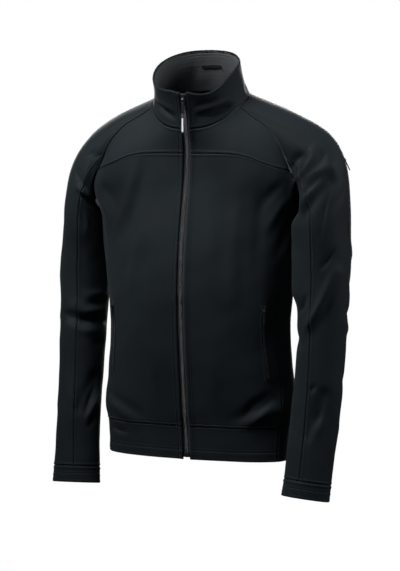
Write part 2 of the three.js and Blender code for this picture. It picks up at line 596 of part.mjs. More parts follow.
function addSleeves() {
  const outerArounds = [...frontArounds.slice(STYLE_SEAM_FRONT), ...neckArounds.slice(1, -1),
    ...backArounds.slice(0, STYLE_SEAM_BACK + 1)];
  const innerArounds = [...backArounds.slice(STYLE_SEAM_BACK),
    ...frontArounds.slice(1, STYLE_SEAM_FRONT + 1).map((a) => a + 1)];
  const shoulderDowns = steps(SHOULDER_ROWS);
  const armDowns = steps(ARM_ROWS).slice(1).map((t) => lerp(1, CUFF_START, t));
  for (const { name, sign } of SIDES) {
    const surface = (around, down) => sleeve(around % 1, down, sign);
    const normalAt = (around, down) => outward((u, v) => sleeve(u, v, sign),
      Math.min(Math.max(around % 1, 0.004), 0.996), Math.max(down, 0.004), -1);
    const rows = (ups, arounds) => panelRows(surface, ups, arounds, sign, normalAt, 'sleeve');
    const downs = [...shoulderDowns, ...armDowns];
    const flip = sign > 0;
    grids[`sleeve_${name}`] = { rows: rows(downs, outerArounds), arounds: outerArounds };
    add(`sleeve_outer_${name}`, wall(grids[`sleeve_${name}`].rows, { flip }), 'shell');
    add(`sleeve_inner_${name}`, wall(rows(downs, innerArounds), { flip }), 'shell');
    const all = [...outerArounds, ...innerArounds.slice(1, -1)];
    const cuff = rows([CUFF_START, lerp(CUFF_START, 2, 0.5), 2], all);
    add(`cuff_${name}`, wall(cuff, { closed: true, flip }), 'shell');
  }
}

function addCollar() {
  const frontAngles = frontColumns.map((t) => lerp(ZIP_NECK_ANGLE, RAGLAN_FRONT_ANGLE, t));
  const sideAngles = steps(NECK_COLUMNS).slice(1)
    .map((t) => lerp(RAGLAN_FRONT_ANGLE, RAGLAN_BACK_ANGLE, t));
  const backAngles = steps(BACK_COLUMNS / 2).slice(1).map((t) => lerp(RAGLAN_BACK_ANGLE, 180, t));
  const half = [...frontAngles, ...sideAngles, ...backAngles];
  const angles = [...half, ...half.slice(0, -1).reverse().map((a) => 360 - a)];
  const round = (angle, up) => collar(angle > 180 ? angle - 360 : angle, up);
  const normalAt = (angle, up) => {
    const du = round(angle + 0.5, up).sub(round(angle - 0.5, up));
    const dv = round(angle, up + 0.01).sub(round(angle, up - 0.01));
    return du.cross(dv).normalize();
  };
  const rows = (ups) => panelRows(round, ups, angles, 1, normalAt);
  add('collar_outer', wall(rows(steps(COLLAR_ROWS).map((t) => lerp(COLLAR_SEAM, 1, t)))), 'shell');
  const under = { thickness: LINER, lift: -CLOTH - 3 * SEAM_GAP };
  // The inner layer stands back from the front edges, where the zip tape is sewn in
  angles[0] = THREE.MathUtils.radToDeg(Math.asin((TAPE_HALF + 1.5) / COLLAR_TOP.halfWidth));
  angles[angles.length - 1] = 360 - angles[0];
  add('collar_inner', wall(rows(steps(COLLAR_ROWS).map((t) => lerp(0.06, 0.97, t))), under), 'liner');
  const loopAngles = steps(4).map((t) => 180 + lerp(-LOOP.angle, LOOP.angle, t));
  const loop = panelRows(round, [LOOP.low, LOOP.high], loopAngles, 1, normalAt);
  const depth = under.lift - LINER - 2 * PIECE_GAP;
  add('hanger_loop', wall(loop, { thickness: LOOP.thick, lift: depth }), 'liner');
}

// Front zip: two tapes behind the fronts' edges, from the hem to the top of the collar
function addFrontZip() {
  const across = (surface, up, x) => {
    let [low, high] = [-0.2, 0.4];
    for (let i = 0; i < 30; i += 1) {
      const mid = (low + high) / 2;
      if (surface(mid, up).x < x) low = mid;
      else high = mid;
    }
    return surface(low, up);
  };
  const band = (t, up) => collar(100 * t, up);
  const columns = [SEAM_GAP / 4, ZIP_HALF + 1, TAPE_HALF];
  const frontUps = [0.008, bandShare / 2, ...bodyUps,
    ...steps(ARMHOLE_ROWS).slice(1).map((t) => 1 + t), ...steps(YOKE_ROWS).slice(1).map((t) => 2 + t)];
  const points = [
    ...frontUps.map((up) => columns.map((x) => across(front, frontUp(0, up), x))),
    ...[0.25, 0.5, 0.75, 0.97].map((up) => columns.map((x) => across(band, up, x))),
  ];
  for (const { name, sign } of SIDES) {
    const rows = points.map((row, j) => row.map((p) => {
      const next = points[Math.min(j + 1, points.length - 1)][0];
      const last = points[Math.max(j - 1, 0)][0];
      const rise = next.clone().sub(last).setX(0).normalize();
      return { point: vec(sign * p.x, p.y, p.z), normal: vec(0, -rise.z, rise.y) };
    }));
    const shape = { thickness: TAPE, lift: -TAPE_DEPTH, flip: sign < 0 };
    add(`zip_tape_${name}`, wall(rows, shape), 'tape');
  }
  const tapeFace = TAPE_DEPTH - PIECE_GAP;
  const seat = collar(0, SLIDER_UP);
  const rise = collar(0, SLIDER_UP + 0.1).sub(collar(0, SLIDER_UP - 0.1)).normalize();
  const out = vec(0, -rise.z, rise.y);
  const slider = add('zip_slider', sliderGeometry(MAIN_SLIDER), 'metal');
  slider.position.copy(seat).addScaledVector(out, -tapeFace);
  slider.rotation.x = Math.atan2(-rise.y, rise.z);
  const axis = slider.position.clone().addScaledVector(out, axisDepth(MAIN_SLIDER));
  add('zip_pull', pullGeometry(MAIN_PULL), 'metal').position.copy(axis);
  const strip = new THREE.BoxGeometry(STRIP.width, STRIP.thick, STRIP.length);
  strip.translate(0, 0, -MAIN_PULL.length - PIECE_GAP - STRIP.length / 2);
  add('zip_pull_strip', strip, 'rubber').position.copy(axis);
  const foot = front(0, BOTTOM_BOX.rise / (UNDERARM - HEM));
  const footRise = front(0, bandShare / 2).sub(foot).setX(0).normalize();
  const geometry = new THREE.BoxGeometry(BOTTOM_BOX.width, BOTTOM_BOX.thick, BOTTOM_BOX.height);
  geometry.translate(0, -BOTTOM_BOX.thick / 2, BOTTOM_BOX.height / 2);
  const box = add('zip_box', geometry, 'metal');
  box.position.set(0, foot.y, foot.z).addScaledVector(vec(0, -footRise.z, footRise.y), -tapeFace);
  box.rotation.x = Math.atan2(-footRise.y, footRise.z);
}

// Slider and pull tab of a pocket zip at a place on its panel
function addPocketPull(name, { point, normal }, rise, hangs) {
  const out = normal.clone().addScaledVector(rise, -normal.dot(rise)).normalize();
  const sideways = new THREE.Vector3().crossVectors(out, rise).negate().normalize();
  const turn = new THREE.Matrix4().makeBasis(sideways, out.clone().negate(), rise);
  const slider = add(`${name}_slider`, sliderGeometry(SMALL_SLIDER), 'metal');
  const seat = POCKET_STRIP + 2 * PIECE_GAP;
  slider.position.copy(point).addScaledVector(out, seat);
  slider.quaternion.setFromRotationMatrix(turn);
  const pull = add(`${name}_pull`, pullGeometry(SMALL_PULL), 'metal');
  pull.position.copy(point).addScaledVector(out, seat + axisDepth(SMALL_SLIDER));
  if (hangs) {
    const level = out.clone().setZ(0).normalize();
    const along = vec(-level.y, level.x, 0);
    turn.makeBasis(along, level.negate(), vec(0, 0, 1));
  }
  pull.quaternion.setFromRotationMatrix(turn);
}

function addPockets() {
  const rowAt = (z) => ((z - BAND_TOP) / (UNDERARM - BAND_TOP)) * BODY_ROWS;
  const topInset = SMALL_SLIDER.height / 2 + 2;
  for (const { name, sign } of SIDES) {
    const rows = grids[`front_${name}`];
    const columnAt = (row) => {
      const z = lerp(BAND_TOP, UNDERARM, row / BODY_ROWS);
      const share = (z - POCKET.top) / (POCKET.bottom - POCKET.top);
      const angle = lerp(POCKET.topAngle, POCKET.bottomAngle, share);
      const edge = zipAngle(z);
      return (FRONT_COLUMNS * (angle - edge)) / (read(SIDE_SEAM, 'z', 'angle', z) - edge);
    };
    const [low, high] = [rowAt(POCKET.bottom), rowAt(POCKET.top)];
    const strip = stripRows(rows, columnAt, low, high, POCKET.halfWidth);
    const shape = { thickness: POCKET_STRIP, lift: POCKET_STRIP + PIECE_GAP, flip: sign < 0 };
    add(`pocket_zip_${name}`, wall(strip, shape), 'tape');
    const row = rowAt(POCKET.top - topInset);
    const seat = gridAt(rows, columnAt(row), row);
    const rise = gridAt(rows, columnAt(row + 0.1), row + 0.1).point
      .sub(gridAt(rows, columnAt(row - 0.1), row - 0.1).point).normalize();
    addPocketPull(`pocket_${name}`, seat, rise, true);
  }
  const { rows, arounds } = grids.sleeve_left;
  const column = arounds.findIndex((a) => a > SLEEVE_POCKET.around) - 0.5;
  const middle = (row) => gridAt(rows, column, row).point.z;
  const rowOf = (z) => {
    let [low, high] = [0, rows.length - 1];
    for (let i = 0; i < 24; i += 1) {
      const mid = (low + high) / 2;
      if (middle(mid) > z) low = mid;
      else high = mid;
    }
    return low;
  };
  const [top, bottom] = [rowOf(SLEEVE_POCKET.top), rowOf(SLEEVE_POCKET.bottom)];
  const strip = stripRows(rows, () => column, top, bottom, SLEEVE_POCKET.halfWidth);
  const shape = { thickness: POCKET_STRIP, lift: POCKET_STRIP + PIECE_GAP, flip: true };
  add('sleeve_pocket_zip', wall(strip, shape), 'tape');
  const row = rowOf(SLEEVE_POCKET.top - topInset);
  const seat = gridAt(rows, column, row);
  const rise = gridAt(rows, column, row - 0.1).point
    .sub(gridAt(rows, column, row + 0.1).point).normalize();
  addPocketPull('sleeve_pocket', seat, rise, false);
}

addBody();
addSleeves();
addCollar();
addFrontZip();
addPockets();

export default jacket;
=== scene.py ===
import json
import math

import bmesh
import bpy
import numpy as np
from bpy.props import FloatProperty, FloatVectorProperty, PointerProperty
from mathutils import Matrix, Vector


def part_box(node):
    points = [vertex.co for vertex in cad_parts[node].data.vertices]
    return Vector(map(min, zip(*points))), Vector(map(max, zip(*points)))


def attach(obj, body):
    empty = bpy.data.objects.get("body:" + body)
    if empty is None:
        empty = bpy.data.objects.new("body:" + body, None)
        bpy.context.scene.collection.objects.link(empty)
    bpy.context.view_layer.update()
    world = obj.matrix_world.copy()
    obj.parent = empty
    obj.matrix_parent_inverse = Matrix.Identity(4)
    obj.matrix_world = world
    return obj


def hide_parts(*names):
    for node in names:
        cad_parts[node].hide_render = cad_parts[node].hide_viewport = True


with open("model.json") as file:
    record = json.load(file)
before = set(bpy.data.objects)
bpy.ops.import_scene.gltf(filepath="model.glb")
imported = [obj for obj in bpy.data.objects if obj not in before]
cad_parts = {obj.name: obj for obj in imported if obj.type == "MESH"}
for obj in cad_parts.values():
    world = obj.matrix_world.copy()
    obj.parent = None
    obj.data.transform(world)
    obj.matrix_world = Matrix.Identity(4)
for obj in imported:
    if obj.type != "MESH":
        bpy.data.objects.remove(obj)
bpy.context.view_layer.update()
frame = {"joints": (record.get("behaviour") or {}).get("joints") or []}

bl_info = {
    "name": "Softshell jacket",
    "version": (1, 0, 0),
    "blender": (4, 5, 0),
    "location": "View3D > Sidebar > Jacket",
    "description": "Builds a softshell jacket, filled out and closed, on its packed frame",
    "category": "Object",
}

MM = 0.001


# What the sidebar offers to change

class JacketCloth(bpy.types.PropertyGroup):
    """Cloth, sewing and colours"""
    thickness: FloatProperty(
        name="Cloth thickness", description="Thickness of the bonded outer cloth",
        default=1.9 * MM, min=1 * MM, max=3 * MM, precision=4, unit="LENGTH", subtype="DISTANCE")
    creases: FloatProperty(
        name="Creases", description="Strength of the finer creases; 0 leaves the large folds alone",
        default=1.75, min=0.0, max=3.0)
    stitch_pitch: FloatProperty(
        name="Stitch pitch", description="Distance from one stitch to the next",
        default=3.5 * MM, min=2 * MM, precision=4, unit="LENGTH", subtype="DISTANCE")
    stitch_length: FloatProperty(
        name="Stitch length", description="Length of thread that shows in each stitch",
        default=2.5 * MM, min=1 * MM, precision=4, unit="LENGTH", subtype="DISTANCE")
    thread_width: FloatProperty(
        name="Thread width", description="Thickness of the sewing thread",
        default=0.5 * MM, min=0.2 * MM, precision=4, unit="LENGTH", subtype="DISTANCE")
    stitch_sink: FloatProperty(
        name="Stitch depth", description="How far a sewn row pulls the cloth in",
        default=0.7 * MM, min=0.0, max=1.2 * MM, precision=4, unit="LENGTH", subtype="DISTANCE")
    outer: FloatVectorProperty(
        name="Outer cloth", description="Colour of the outer cloth's face, a blue-black",
        default=(0.0106, 0.0154, 0.0186), min=0.0, max=1.0, subtype="COLOR")
    lining: FloatVectorProperty(
        name="Lining", description="Colour of the brushed inner face",
        default=(0.096, 0.104, 0.110), min=0.0, max=1.0, subtype="COLOR")
    tape: FloatVectorProperty(
        name="Zip tape", description="Colour of the front zip's tape, paler than the cloth",
        default=(0.031, 0.035, 0.038), min=0.0, max=1.0, subtype="COLOR")
    thread: FloatVectorProperty(
        name="Thread", description="Colour of the sewing thread",
        default=(0.034, 0.037, 0.040), min=0.0, max=1.0, subtype="COLOR")
    metal: FloatVectorProperty(
        name="Metal", description="Colour of the blackened sliders, tabs and zip box",
        default=(0.040, 0.042, 0.045), min=0.0, max=1.0, subtype="COLOR")
    strip: FloatVectorProperty(
        name="Pull strip", description="Colour of the pale insert in the front zip's pull",
        default=(0.80, 0.81, 0.82), min=0.0, max=1.0, subtype="COLOR")


class JacketStage(bpy.types.PropertyGroup):
    """How the studio is lit"""
    light: FloatProperty(
        name="Light", description="Strength of all the lights", default=1.0, min=0.0)
    surroundings: FloatProperty(
        name="Surroundings", description="Strength of the light from all sides",
        default=0.05, min=0.0)
    exposure: FloatProperty(
        name="Exposure", description="Exposure of the picture, in stops", default=0.0)


def chosen():
    """The values set in the sidebar"""
    return bpy.context.scene.jacket


# The garment's sizes, in millimetres, are those of the solids. Panels lie on the same surfaces.
SQUARENESS = 2.3
UNDERARM = -189
BAND_TOP = -645
HEM = -712
ZIP_HALF = 7
TAPE_HALF = 17
TAPE_DEPTH = 2.6
NECK_HALF_WIDTH, NECK_HALF_DEPTH, NECK_MIDDLE = 98, 86, 8
COLLAR_HALF_WIDTH, COLLAR_HALF_DEPTH, COLLAR_MIDDLE = 89, 80, -16
COLLAR_HEIGHT, COLLAR_RISE, COLLAR_WAIST = 52, 41.5, 3
COLLAR_LENGTH, ROLL_RADIUS = 80, 2.3
ROLL_START = 1 - ROLL_RADIUS / COLLAR_LENGTH
ROLL_END = ROLL_START + math.radians(150) * ROLL_RADIUS / COLLAR_LENGTH
RAGLAN_FRONT_ANGLE, RAGLAN_BACK_ANGLE = 68, 120
NECK_FROM, NECK_TO = 0.45, 0.55
CUFF_START = 1.935
RIGHT_SHOULDER = 0.8
POCKET_TOP, POCKET_BOTTOM, POCKET_TOP_ANGLE, POCKET_BOTTOM_ANGLE = -404, -545, 53, 54.5
ARM_POCKET_TOP, ARM_POCKET_BOTTOM = -112, -262
BAND_SHARE = (BAND_TOP - HEM) / (UNDERARM - HEM)
ZIP_NECK_ANGLE = math.degrees(math.asin(ZIP_HALF / NECK_HALF_WIDTH))

# height, half width, front, back, depth at which the section is widest
BODY = [
    (-712, 188, 73, 93, -13), (-680, 190, 76, 95, -12), (-645, 192, 80, 97, -10),
    (-620, 198, 86, 101, -8), (-575, 198, 91, 100, -5), (-525, 193, 98, 95, -4),
    (-455, 187, 105.5, 92, -3), (-410, 189, 108, 95, -1), (-365, 194, 109, 100, 0),
    (-290, 202, 102, 108, 2), (-250, 205, 95, 111, 2), (-215, 213, 88, 112, 0),
    (-189, 225, 81, 112, -2),
]
# height, angle from the middle of the front
SIDE_SEAM = [(-712, 66), (-365, 68), (-300, 71), (-230, 81), (-189, 90)]
# angle from the middle of the front, height
NECK_SEAM = [(0, -60), (25, -54), (45, -39), (68, -16), (90, 0), (120, 11), (150, 16), (180, 18)]
# Points x, y, z from the underarm's height up: beside the zip, down the middle of the back, and
# the left raglan seams
FRONT_LINE = [(7, -81, -189), (7, -74, -145), (7, -71.5, -105), (7, -74, -80), (7, -77.8, -60)]
BACK_LINE = [(0, 112, -189), (0, 114, -150), (0, 112, -100), (0, 106, -50), (0, 99, -10),
             (0, 94, 18)]
RAGLAN_FRONT = [
    (225, -2, -189), (221, -20, -173), (212, -32, -156), (203, -37, -140), (188, -39, -106),
    (176, -38, -84), (161, -36, -65), (145, -33, -50), (121, -29, -36), (104, -26, -25),
    (90.9, -24.2, -16),
]
RAGLAN_BACK = [
    (225, -2, -189), (222, 22, -176), (212, 46, -152), (196, 66, -117), (172, 77, -80),
    (142, 79, -46), (112, 70, -14), (84.9, 51, 11),
]
# distance from the zip, height
CHEST_SEAM = [(0, -107), (94, -108), (131, -115), (150, -123), (182, -134), (205, -141)]
# place round the armhole, direction in which the sleeve leaves it, reach at its start and end
SHOULDER = [
    (0.00, 0.62, 0.00, -0.78, 14, 22), (0.08, 0.50, -0.30, -0.80, 22, 28),
    (0.18, 0.80, -0.20, -0.55, 48, 55), (0.30, 0.92, -0.05, -0.40, 80, 85),
    (0.40, 0.93, -0.03, -0.35, 145, 140), (0.50, 0.94, 0.00, -0.32, 198, 188),
    (0.60, 0.92, 0.02, -0.38, 145, 140), (0.72, 0.86, 0.05, -0.50, 75, 80),
    (0.84, 0.75, 0.10, -0.65, 42, 48), (0.93, 0.50, 0.15, -0.85, 18, 28),
    (1.00, 0.62, 0.00, -0.78, 14, 22),
]
# place round the armhole, place round the arm
ROUND_ARM = [(0, 0), (0.18, 0.228), (0.45, 0.42), (0.5, 0.5), (0.55, 0.58), (0.82, 0.772), (1, 1)]
# place along the sleeve, middle x, y, z, half width, half depth
ARM_LEFT = [
    (1.00, 261, -4, -250, 50, 68), (1.10, 262, -6, -303, 51, 62), (1.20, 262, -9, -356, 51, 57),
    (1.30, 261, -12, -409, 50, 53), (1.40, 260, -16, -462, 49, 50), (1.55, 258, -25, -541, 49, 45),
    (1.70, 254, -36, -620, 48.5, 40), (1.85, 249, -49, -699, 48, 35),
    (2.00, 243, -62, -776, 48, 31),
]
ARM_RIGHT = [
    (1.00, 253.5, 22, -250, 45.5, 68), (1.10, 256, 20, -303, 49, 62), (1.20, 257, 14, -356, 51, 57),
    (1.30, 255, 6, -409, 49, 53), (1.40, 254, -4, -462, 47.5, 50), (1.55, 252, -18, -541, 46, 45),
    (1.70, 250, -34, -620, 45, 40), (1.85, 248, -49, -699, 47, 35),
    (2.00, 245.5, -62, -776, 50, 31),
]
# The largest folds, as in the solids: side (1 left, -1 right, 0 both), part that alone has it,
# from, to, reach, height. All points are drawn on the left side.
FOLDS = [
    (1, "sleeve", (216, -36, -248), (216, -40, -372), 23, 13),
    (0, "", (222, -52, -112), (228, -62, -176), 15, -7),
    (0, "", (242, -48, -100), (232, -66, -205), 14, 6),
    (0, "", (283, -40, -132), (242, -72, -195), 12, 5),
    (0, "", (285, -45, -158), (238, -74, -222), 11, -5),
    (-1, "", (228, -50, -446), (280, -54, -436), 12, -6),
    (-1, "", (225, -52, -420), (268, -62, -418), 15, 6),
    (1, "", (296, -42, -335), (250, -64, -432), 14, 5),
    (1, "", (212, -30, -462), (222, -52, -476), 12, -5),
    (-1, "", (214, -42, -560), (238, -66, -622), 12, -5),
    (1, "", (282, -66, -570), (252, -76, -650), 12, -4),
    (0, "", (232, 36, -420), (285, 38, -440), 14, -5),
    (0, "", (240, 60, -235), (292, 40, -300), 16, 4),
    (0, "", (100, -88, -628), (176, -60, -590), 12, -4),
    (0, "", (120, -84, -640), (178, -50, -607), 12, 4),
    (0, "", (196, -20, -330), (186, -30, -560), 24, -4),
    (0, "", (150, 92, -190), (176, 62, -300), 20, -5),
    (0, "", (60, 92, -470), (150, 70, -520), 22, 4),
    (0, "", (70, 102, -612), (160, 78, -590), 16, -4),
    (1, "", (34, -80, -36), (78, -48, -20), 9, -3.5),
    (-1, "", (30, -86, -34), (80, -52, -8), 9, -3.5),
]
# Finer creases (height below 0) and ridges: side, points along it, reach, height
CREASES = [
    # left sleeve, front
    (1, [(252, -33, -87), (250, -46, -114), (235, -55, -137), (211, -38, -163), (204, -40, -192)],
     6, 3.0),
    (1, [(241, -37, -87), (237, -47, -106), (215, -43, -118), (200, -42, -141)], 6, -3.4),
    (1, [(225, -48, -149), (213, -37, -169), (208, -39, -186)], 4, -2.2),
    (1, [(285, -40, -140), (263, -55, -156), (247, -65, -173), (236, -63, -184)], 4.5, -3.0),
    (1, [(282, -37, -127), (262, -51, -138), (243, -60, -154)], 5, 2.2),
    (1, [(270, -20, -91), (267, -40, -114), (258, -50, -129)], 5, -2.4),
    (1, [(289, -42, -167), (283, -54, -188), (279, -64, -212), (274, -68, -262)], 5, -2.6),
    (1, [(300, -30, -164), (294, -43, -182), (288, -56, -203)], 4, 1.4),
    (1, [(304, -22, -170), (299, -40, -188), (291, -54, -211)], 4, -1.6),
    (1, [(296, -52, -289), (286, -60, -307), (274, -65, -326)], 4.5, -2.6),
    (1, [(298, -52, -316), (288, -60, -351), (276, -65, -385), (259, -67, -419), (238, -60, -453)],
     6.5, 2.6),
    (1, [(293, -54, -386), (283, -60, -409), (272, -64, -436)], 7, -1.6),
    (1, [(243, -62, -381), (236, -59, -401), (224, -47, -414)], 4.5, -2.6),
    (1, [(266, -69, -550), (255, -71, -564)], 5, -1.8),
    (1, [(278, -67, -598), (268, -73, -627)], 6, -2.0),
    (1, [(284, -62, -589), (275, -71, -627), (261, -77, -660)], 7, 1.6),
    (1, [(214, -44, -262), (220, -56, -300), (218, -60, -348)], 8, -1.8),
    # right sleeve, front
    (-1, [(258, -27, -139), (245, -43, -161), (233, -45, -175), (226, -41, -183)], 5, -3.2),
    (-1, [(248, -45, -187), (234, -43, -199), (224, -34, -211), (221, -27, -220)], 4.5, -3.2),
    (-1, [(252, -42, -175), (235, -45, -187), (225, -38, -201)], 5, 2.6),
    (-1, [(220, -39, -119), (225, -43, -145), (227, -43, -169)], 6, 2.0),
    (-1, [(238, -33, -123), (239, -41, -147), (235, -45, -167)], 5, -1.6),
    (-1, [(242, -44, -231), (236, -39, -248), (229, -34, -264)], 4.5, -1.8),
    (-1, [(233, -39, -229), (230, -36, -252), (233, -36, -272)], 5, 1.4),
    (-1, [(256, -43, -195), (251, -45, -227), (245, -43, -260)], 7, -1.4),
    (-1, [(267, -40, -297), (257, -41, -329), (241, -40, -365)], 9, 1.2),
    (-1, [(236, -27, -107), (208, -40, -114), (183, -48, -114)], 5, -1.4),
    (-1, [(242, -47, -431), (221, -34, -428), (208, -3, -427)], 7, 3.0),
    (-1, [(230, -40, -413), (216, -22, -411), (206, 10, -409)], 5.5, -2.6),
    (-1, [(236, -44, -396), (216, -26, -394), (206, 2, -394)], 8, 1.6),
    (-1, [(248, -48, -443), (236, -47, -446), (217, -30, -449), (208, 12, -453)], 5.5, -4.2),
    (-1, [(280, -38, -432), (266, -47, -437), (252, -50, -441)], 6, -1.0),
    (-1, [(246, -54, -462), (230, -48, -468), (210, -20, -470)], 8, 2.0),
    (-1, [(262, -62, -560), (250, -72, -616), (246, -80, -664)], 10, 1.4),
    (-1, [(211, -39, -576), (217, -56, -603), (223, -67, -630)], 5, -2.8),
    (-1, [(207, -23, -586), (210, -51, -615), (220, -68, -646)], 5, 3.0),
    (-1, [(206, -47, -636), (215, -67, -660)], 5, -2.4),
    (-1, [(218, -38, -491), (212, -27, -494), (208, -4, -494)], 7, -1.4),
    # both sleeves, outer side and back
    (0, [(306, -8, -268), (304, 20, -300), (292, 44, -330)], 9, 1.8),
    (0, [(309, -10, -330), (308, 12, -366), (298, 34, -392)], 8, -1.8),
    (0, [(308, -18, -402), (302, 10, -424), (286, 30, -432)], 8, -2.6),
    (0, [(306, -24, -430), (300, 4, -448), (282, 24, -462)], 9, 2.4),
    (0, [(304, -34, -520), (298, -8, -560), (282, 12, -600)], 9, -1.6),
    (0, [(296, -50, -600), (290, -30, -640), (276, -14, -676)], 9, 1.6),
    (0, [(240, 58, -180), (262, 66, -222), (280, 58, -262)], 9, -2.6),
    (0, [(214, 52, -166), (236, 66, -206), (252, 70, -250)], 8, 2.4),
    (0, [(226, 44, -196), (236, 58, -240), (242, 66, -286)], 7, -2.6),
    (0, [(222, 22, -214), (224, 40, -252), (228, 52, -300)], 8, 2.0),
    (0, [(226, 40, -398), (246, 46, -416), (270, 44, -424)], 7, 2.4),
    (0, [(228, 32, -446), (250, 38, -456), (274, 34, -452)], 7, 2.0),
    (0, [(222, 12, -560), (240, 22, -590), (258, 20, -612)], 8, -1.8),
    (0, [(214, -6, -640), (232, -4, -664), (252, -8, -684)], 7, 1.6),
    # body, front
    (0, [(196, -34, -150), (176, -58, -176), (152, -74, -214)], 10, -2.4),
    (0, [(200, -24, -172), (186, -48, -206), (166, -66, -252)], 9, 2.2),
    (0, [(206, -16, -206), (196, -36, -250), (182, -54, -304)], 9, -2.0),
    (1, [(117, -71, -623), (135, -69, -596), (165, -58, -576)], 7, -2.6),
    (1, [(131, -67, -634), (154, -63, -614), (178, -50, -591)], 7, 2.0),
    (-1, [(135, -62, -667), (156, -54, -665), (182, -35, -657)], 5, -2.0),
    (-1, [(130, -66, -654), (156, -56, -648), (184, -34, -640)], 7, 1.2),
    (0, [(60, -92, -600), (64, -98, -540), (58, -102, -470)], 16, 1.2),
    (0, [(108, -86, -260), (122, -90, -340), (124, -90, -430)], 16, -1.2),
    (-1, [(103, -74, -120), (125, -73, -200), (157, -68, -270)], 11, 1.8),
    (-1, [(85, -75, -120), (102, -77, -199), (130, -82, -279)], 11, -1.4),
    (-1, [(76, -78, -170), (91, -92, -277), (117, -92, -377)], 14, 1.6),
    (1, [(112, -75, -138), (107, -85, -253), (103, -96, -389)], 15, 1.6),
    (1, [(158, -62, -137), (150, -70, -234), (148, -78, -330)], 13, -2.0),
    (0, [(46, -82, -180), (62, -92, -260), (58, -104, -360)], 20, 1.3),
    (0, [(150, -62, -330), (156, -66, -400), (150, -70, -470)], 14, 1.2),
    # body, back
    (0, [(206, 30, -196), (184, 62, -236), (150, 88, -270)], 9, -2.4),
    (0, [(212, 24, -214), (192, 56, -268), (166, 78, -316)], 10, 2.2),
    (0, [(190, 40, -470), (150, 70, -486), (96, 86, -484)], 11, -2.4),
    (0, [(188, 44, -500), (148, 70, -516), (104, 84, -516)], 10, 2.0),
    (0, [(186, 46, -560), (150, 72, -548), (110, 88, -552)], 10, -2.0),
    (0, [(176, 56, -622), (132, 84, -604), (84, 98, -612)], 9, 2.2),
    (0, [(20, 112, -190), (34, 108, -300), (26, 94, -420)], 22, 1.6),
    (0, [(70, 110, -150), (82, 106, -240), (76, 98, -330)], 20, -1.6),
    (0, [(150, 84, -80), (138, 96, -130), (120, 104, -190)], 12, 1.8),
    # collar
    (1, [(24, -83, -14), (40, -78, -8), (58, -68, 0)], 4.5, -2.2),
    (1, [(30, -78, -34), (56, -64, -26), (84, -38, -12)], 5, -2.4),
    (1, [(28, -80, -25), (54, -68, -15), (78, -48, -2)], 5, 1.8),
    (-1, [(22, -80, -38), (44, -72, -26), (70, -54, -9)], 5.5, -2.6),
    (-1, [(24, -82, -26), (46, -74, -14), (66, -60, -2)], 6, 1.6),
    (0, [(88, 10, 6), (92, 24, 30), (88, 40, 56)], 9, -1.6),
    (0, [(40, 90, 24), (44, 78, 48), (40, 68, 74)], 12, 1.4),
]


# The garment's surfaces

def read(rows, column, at):
    """Smooth value of a table's column at places along its first column"""
    keys = np.array([row[0] for row in rows], float)
    values = np.array([row[column] for row in rows], float)
    if keys[0] > keys[-1]:
        keys, values = keys[::-1], values[::-1]
    last = len(keys) - 1
    before = np.maximum(np.arange(last + 1) - 1, 0)
    after = np.minimum(np.arange(last + 1) + 1, last)
    slopes = (values[after] - values[before]) / (keys[after] - keys[before])
    at = np.clip(np.asarray(at, float), keys[0], keys[-1])
    i = np.clip(np.searchsorted(keys, at, side="right") - 1, 0, last - 1)
    span = keys[i + 1] - keys[i]
    t = (at - keys[i]) / span
    return ((2 * t**3 - 3 * t**2 + 1) * values[i] + (t**3 - 2 * t**2 + t) * span * slopes[i]
            + (3 * t**2 - 2 * t**3) * values[i + 1] + (t**3 - t**2) * span * slopes[i + 1])


def along(points, share):
    """Points on a smooth line, at shares of its length"""
    points = np.array(points, float)
    steps = np.linalg.norm(np.diff(points, axis=0), axis=1)
    lengths = np.concatenate([[0], np.cumsum(steps)])
    at = np.clip(share, 0, 1) * lengths[-1]
    rows = [(length, *point) for length, point in zip(lengths, points)]
    return np.stack([read(rows, column, at) for column in (1, 2, 3)], -1)


def smooth(value):
    """Share from 0 to 1 that leaves and arrives gently"""
    value = np.clip(value, 0, 1)
    return value * value * (3 - 2 * value)


def lerp(a, b, t):
    """Value that lies the share t of the way from a to b"""
    return a + (b - a) * t


def unit(vectors):
    """Vectors scaled to a length of 1"""
    return vectors / np.maximum(np.linalg.norm(vectors, axis=-1, keepdims=True), 1e-9)


def body(angle, z):
    """Body below the underarm: a rounded section at each height"""
    angle, z = np.broadcast_arrays(np.radians(angle), np.asarray(z, float))
    s, c = np.sin(angle), np.cos(angle)
    k = (np.abs(s) ** SQUARENESS + np.abs(c) ** SQUARENESS) ** (-1 / SQUARENESS)
    middle = read(BODY, 4, z)
    depth = np.where(c > 0, middle + read(BODY, 2, z), read(BODY, 3, z) - middle)
    return np.stack([read(BODY, 1, z) * s * k, middle - depth * c * k, z], -1)


def zip_angle(z):
    """Angle from the middle of the front at which the zip's edge runs"""
    return np.degrees(np.arcsin(ZIP_HALF / read(BODY, 1, z)))


def neck(angle):
    """Neck seam, by the angle from the middle of the front"""
    a = np.radians(angle)
    return np.stack([NECK_HALF_WIDTH * np.sin(a), NECK_MIDDLE - NECK_HALF_DEPTH * np.cos(a),
                     read(NECK_SEAM, 1, np.abs(angle))], -1)


def patch(low, high, inner, outer, across, q):
    """Surface filled in between four edges, each a function of its own place from 0 to 1"""
    a, q = across[..., None], q[..., None]
    zero, one = np.zeros_like(across), np.ones_like(across)
    return (low(across) * (1 - q) + high(across) * q + inner(q[..., 0]) * (1 - a)
            + outer(q[..., 0]) * a - low(zero) * (1 - a) * (1 - q) - low(one) * a * (1 - q)
            - high(zero) * (1 - a) * q - high(one) * a * q)


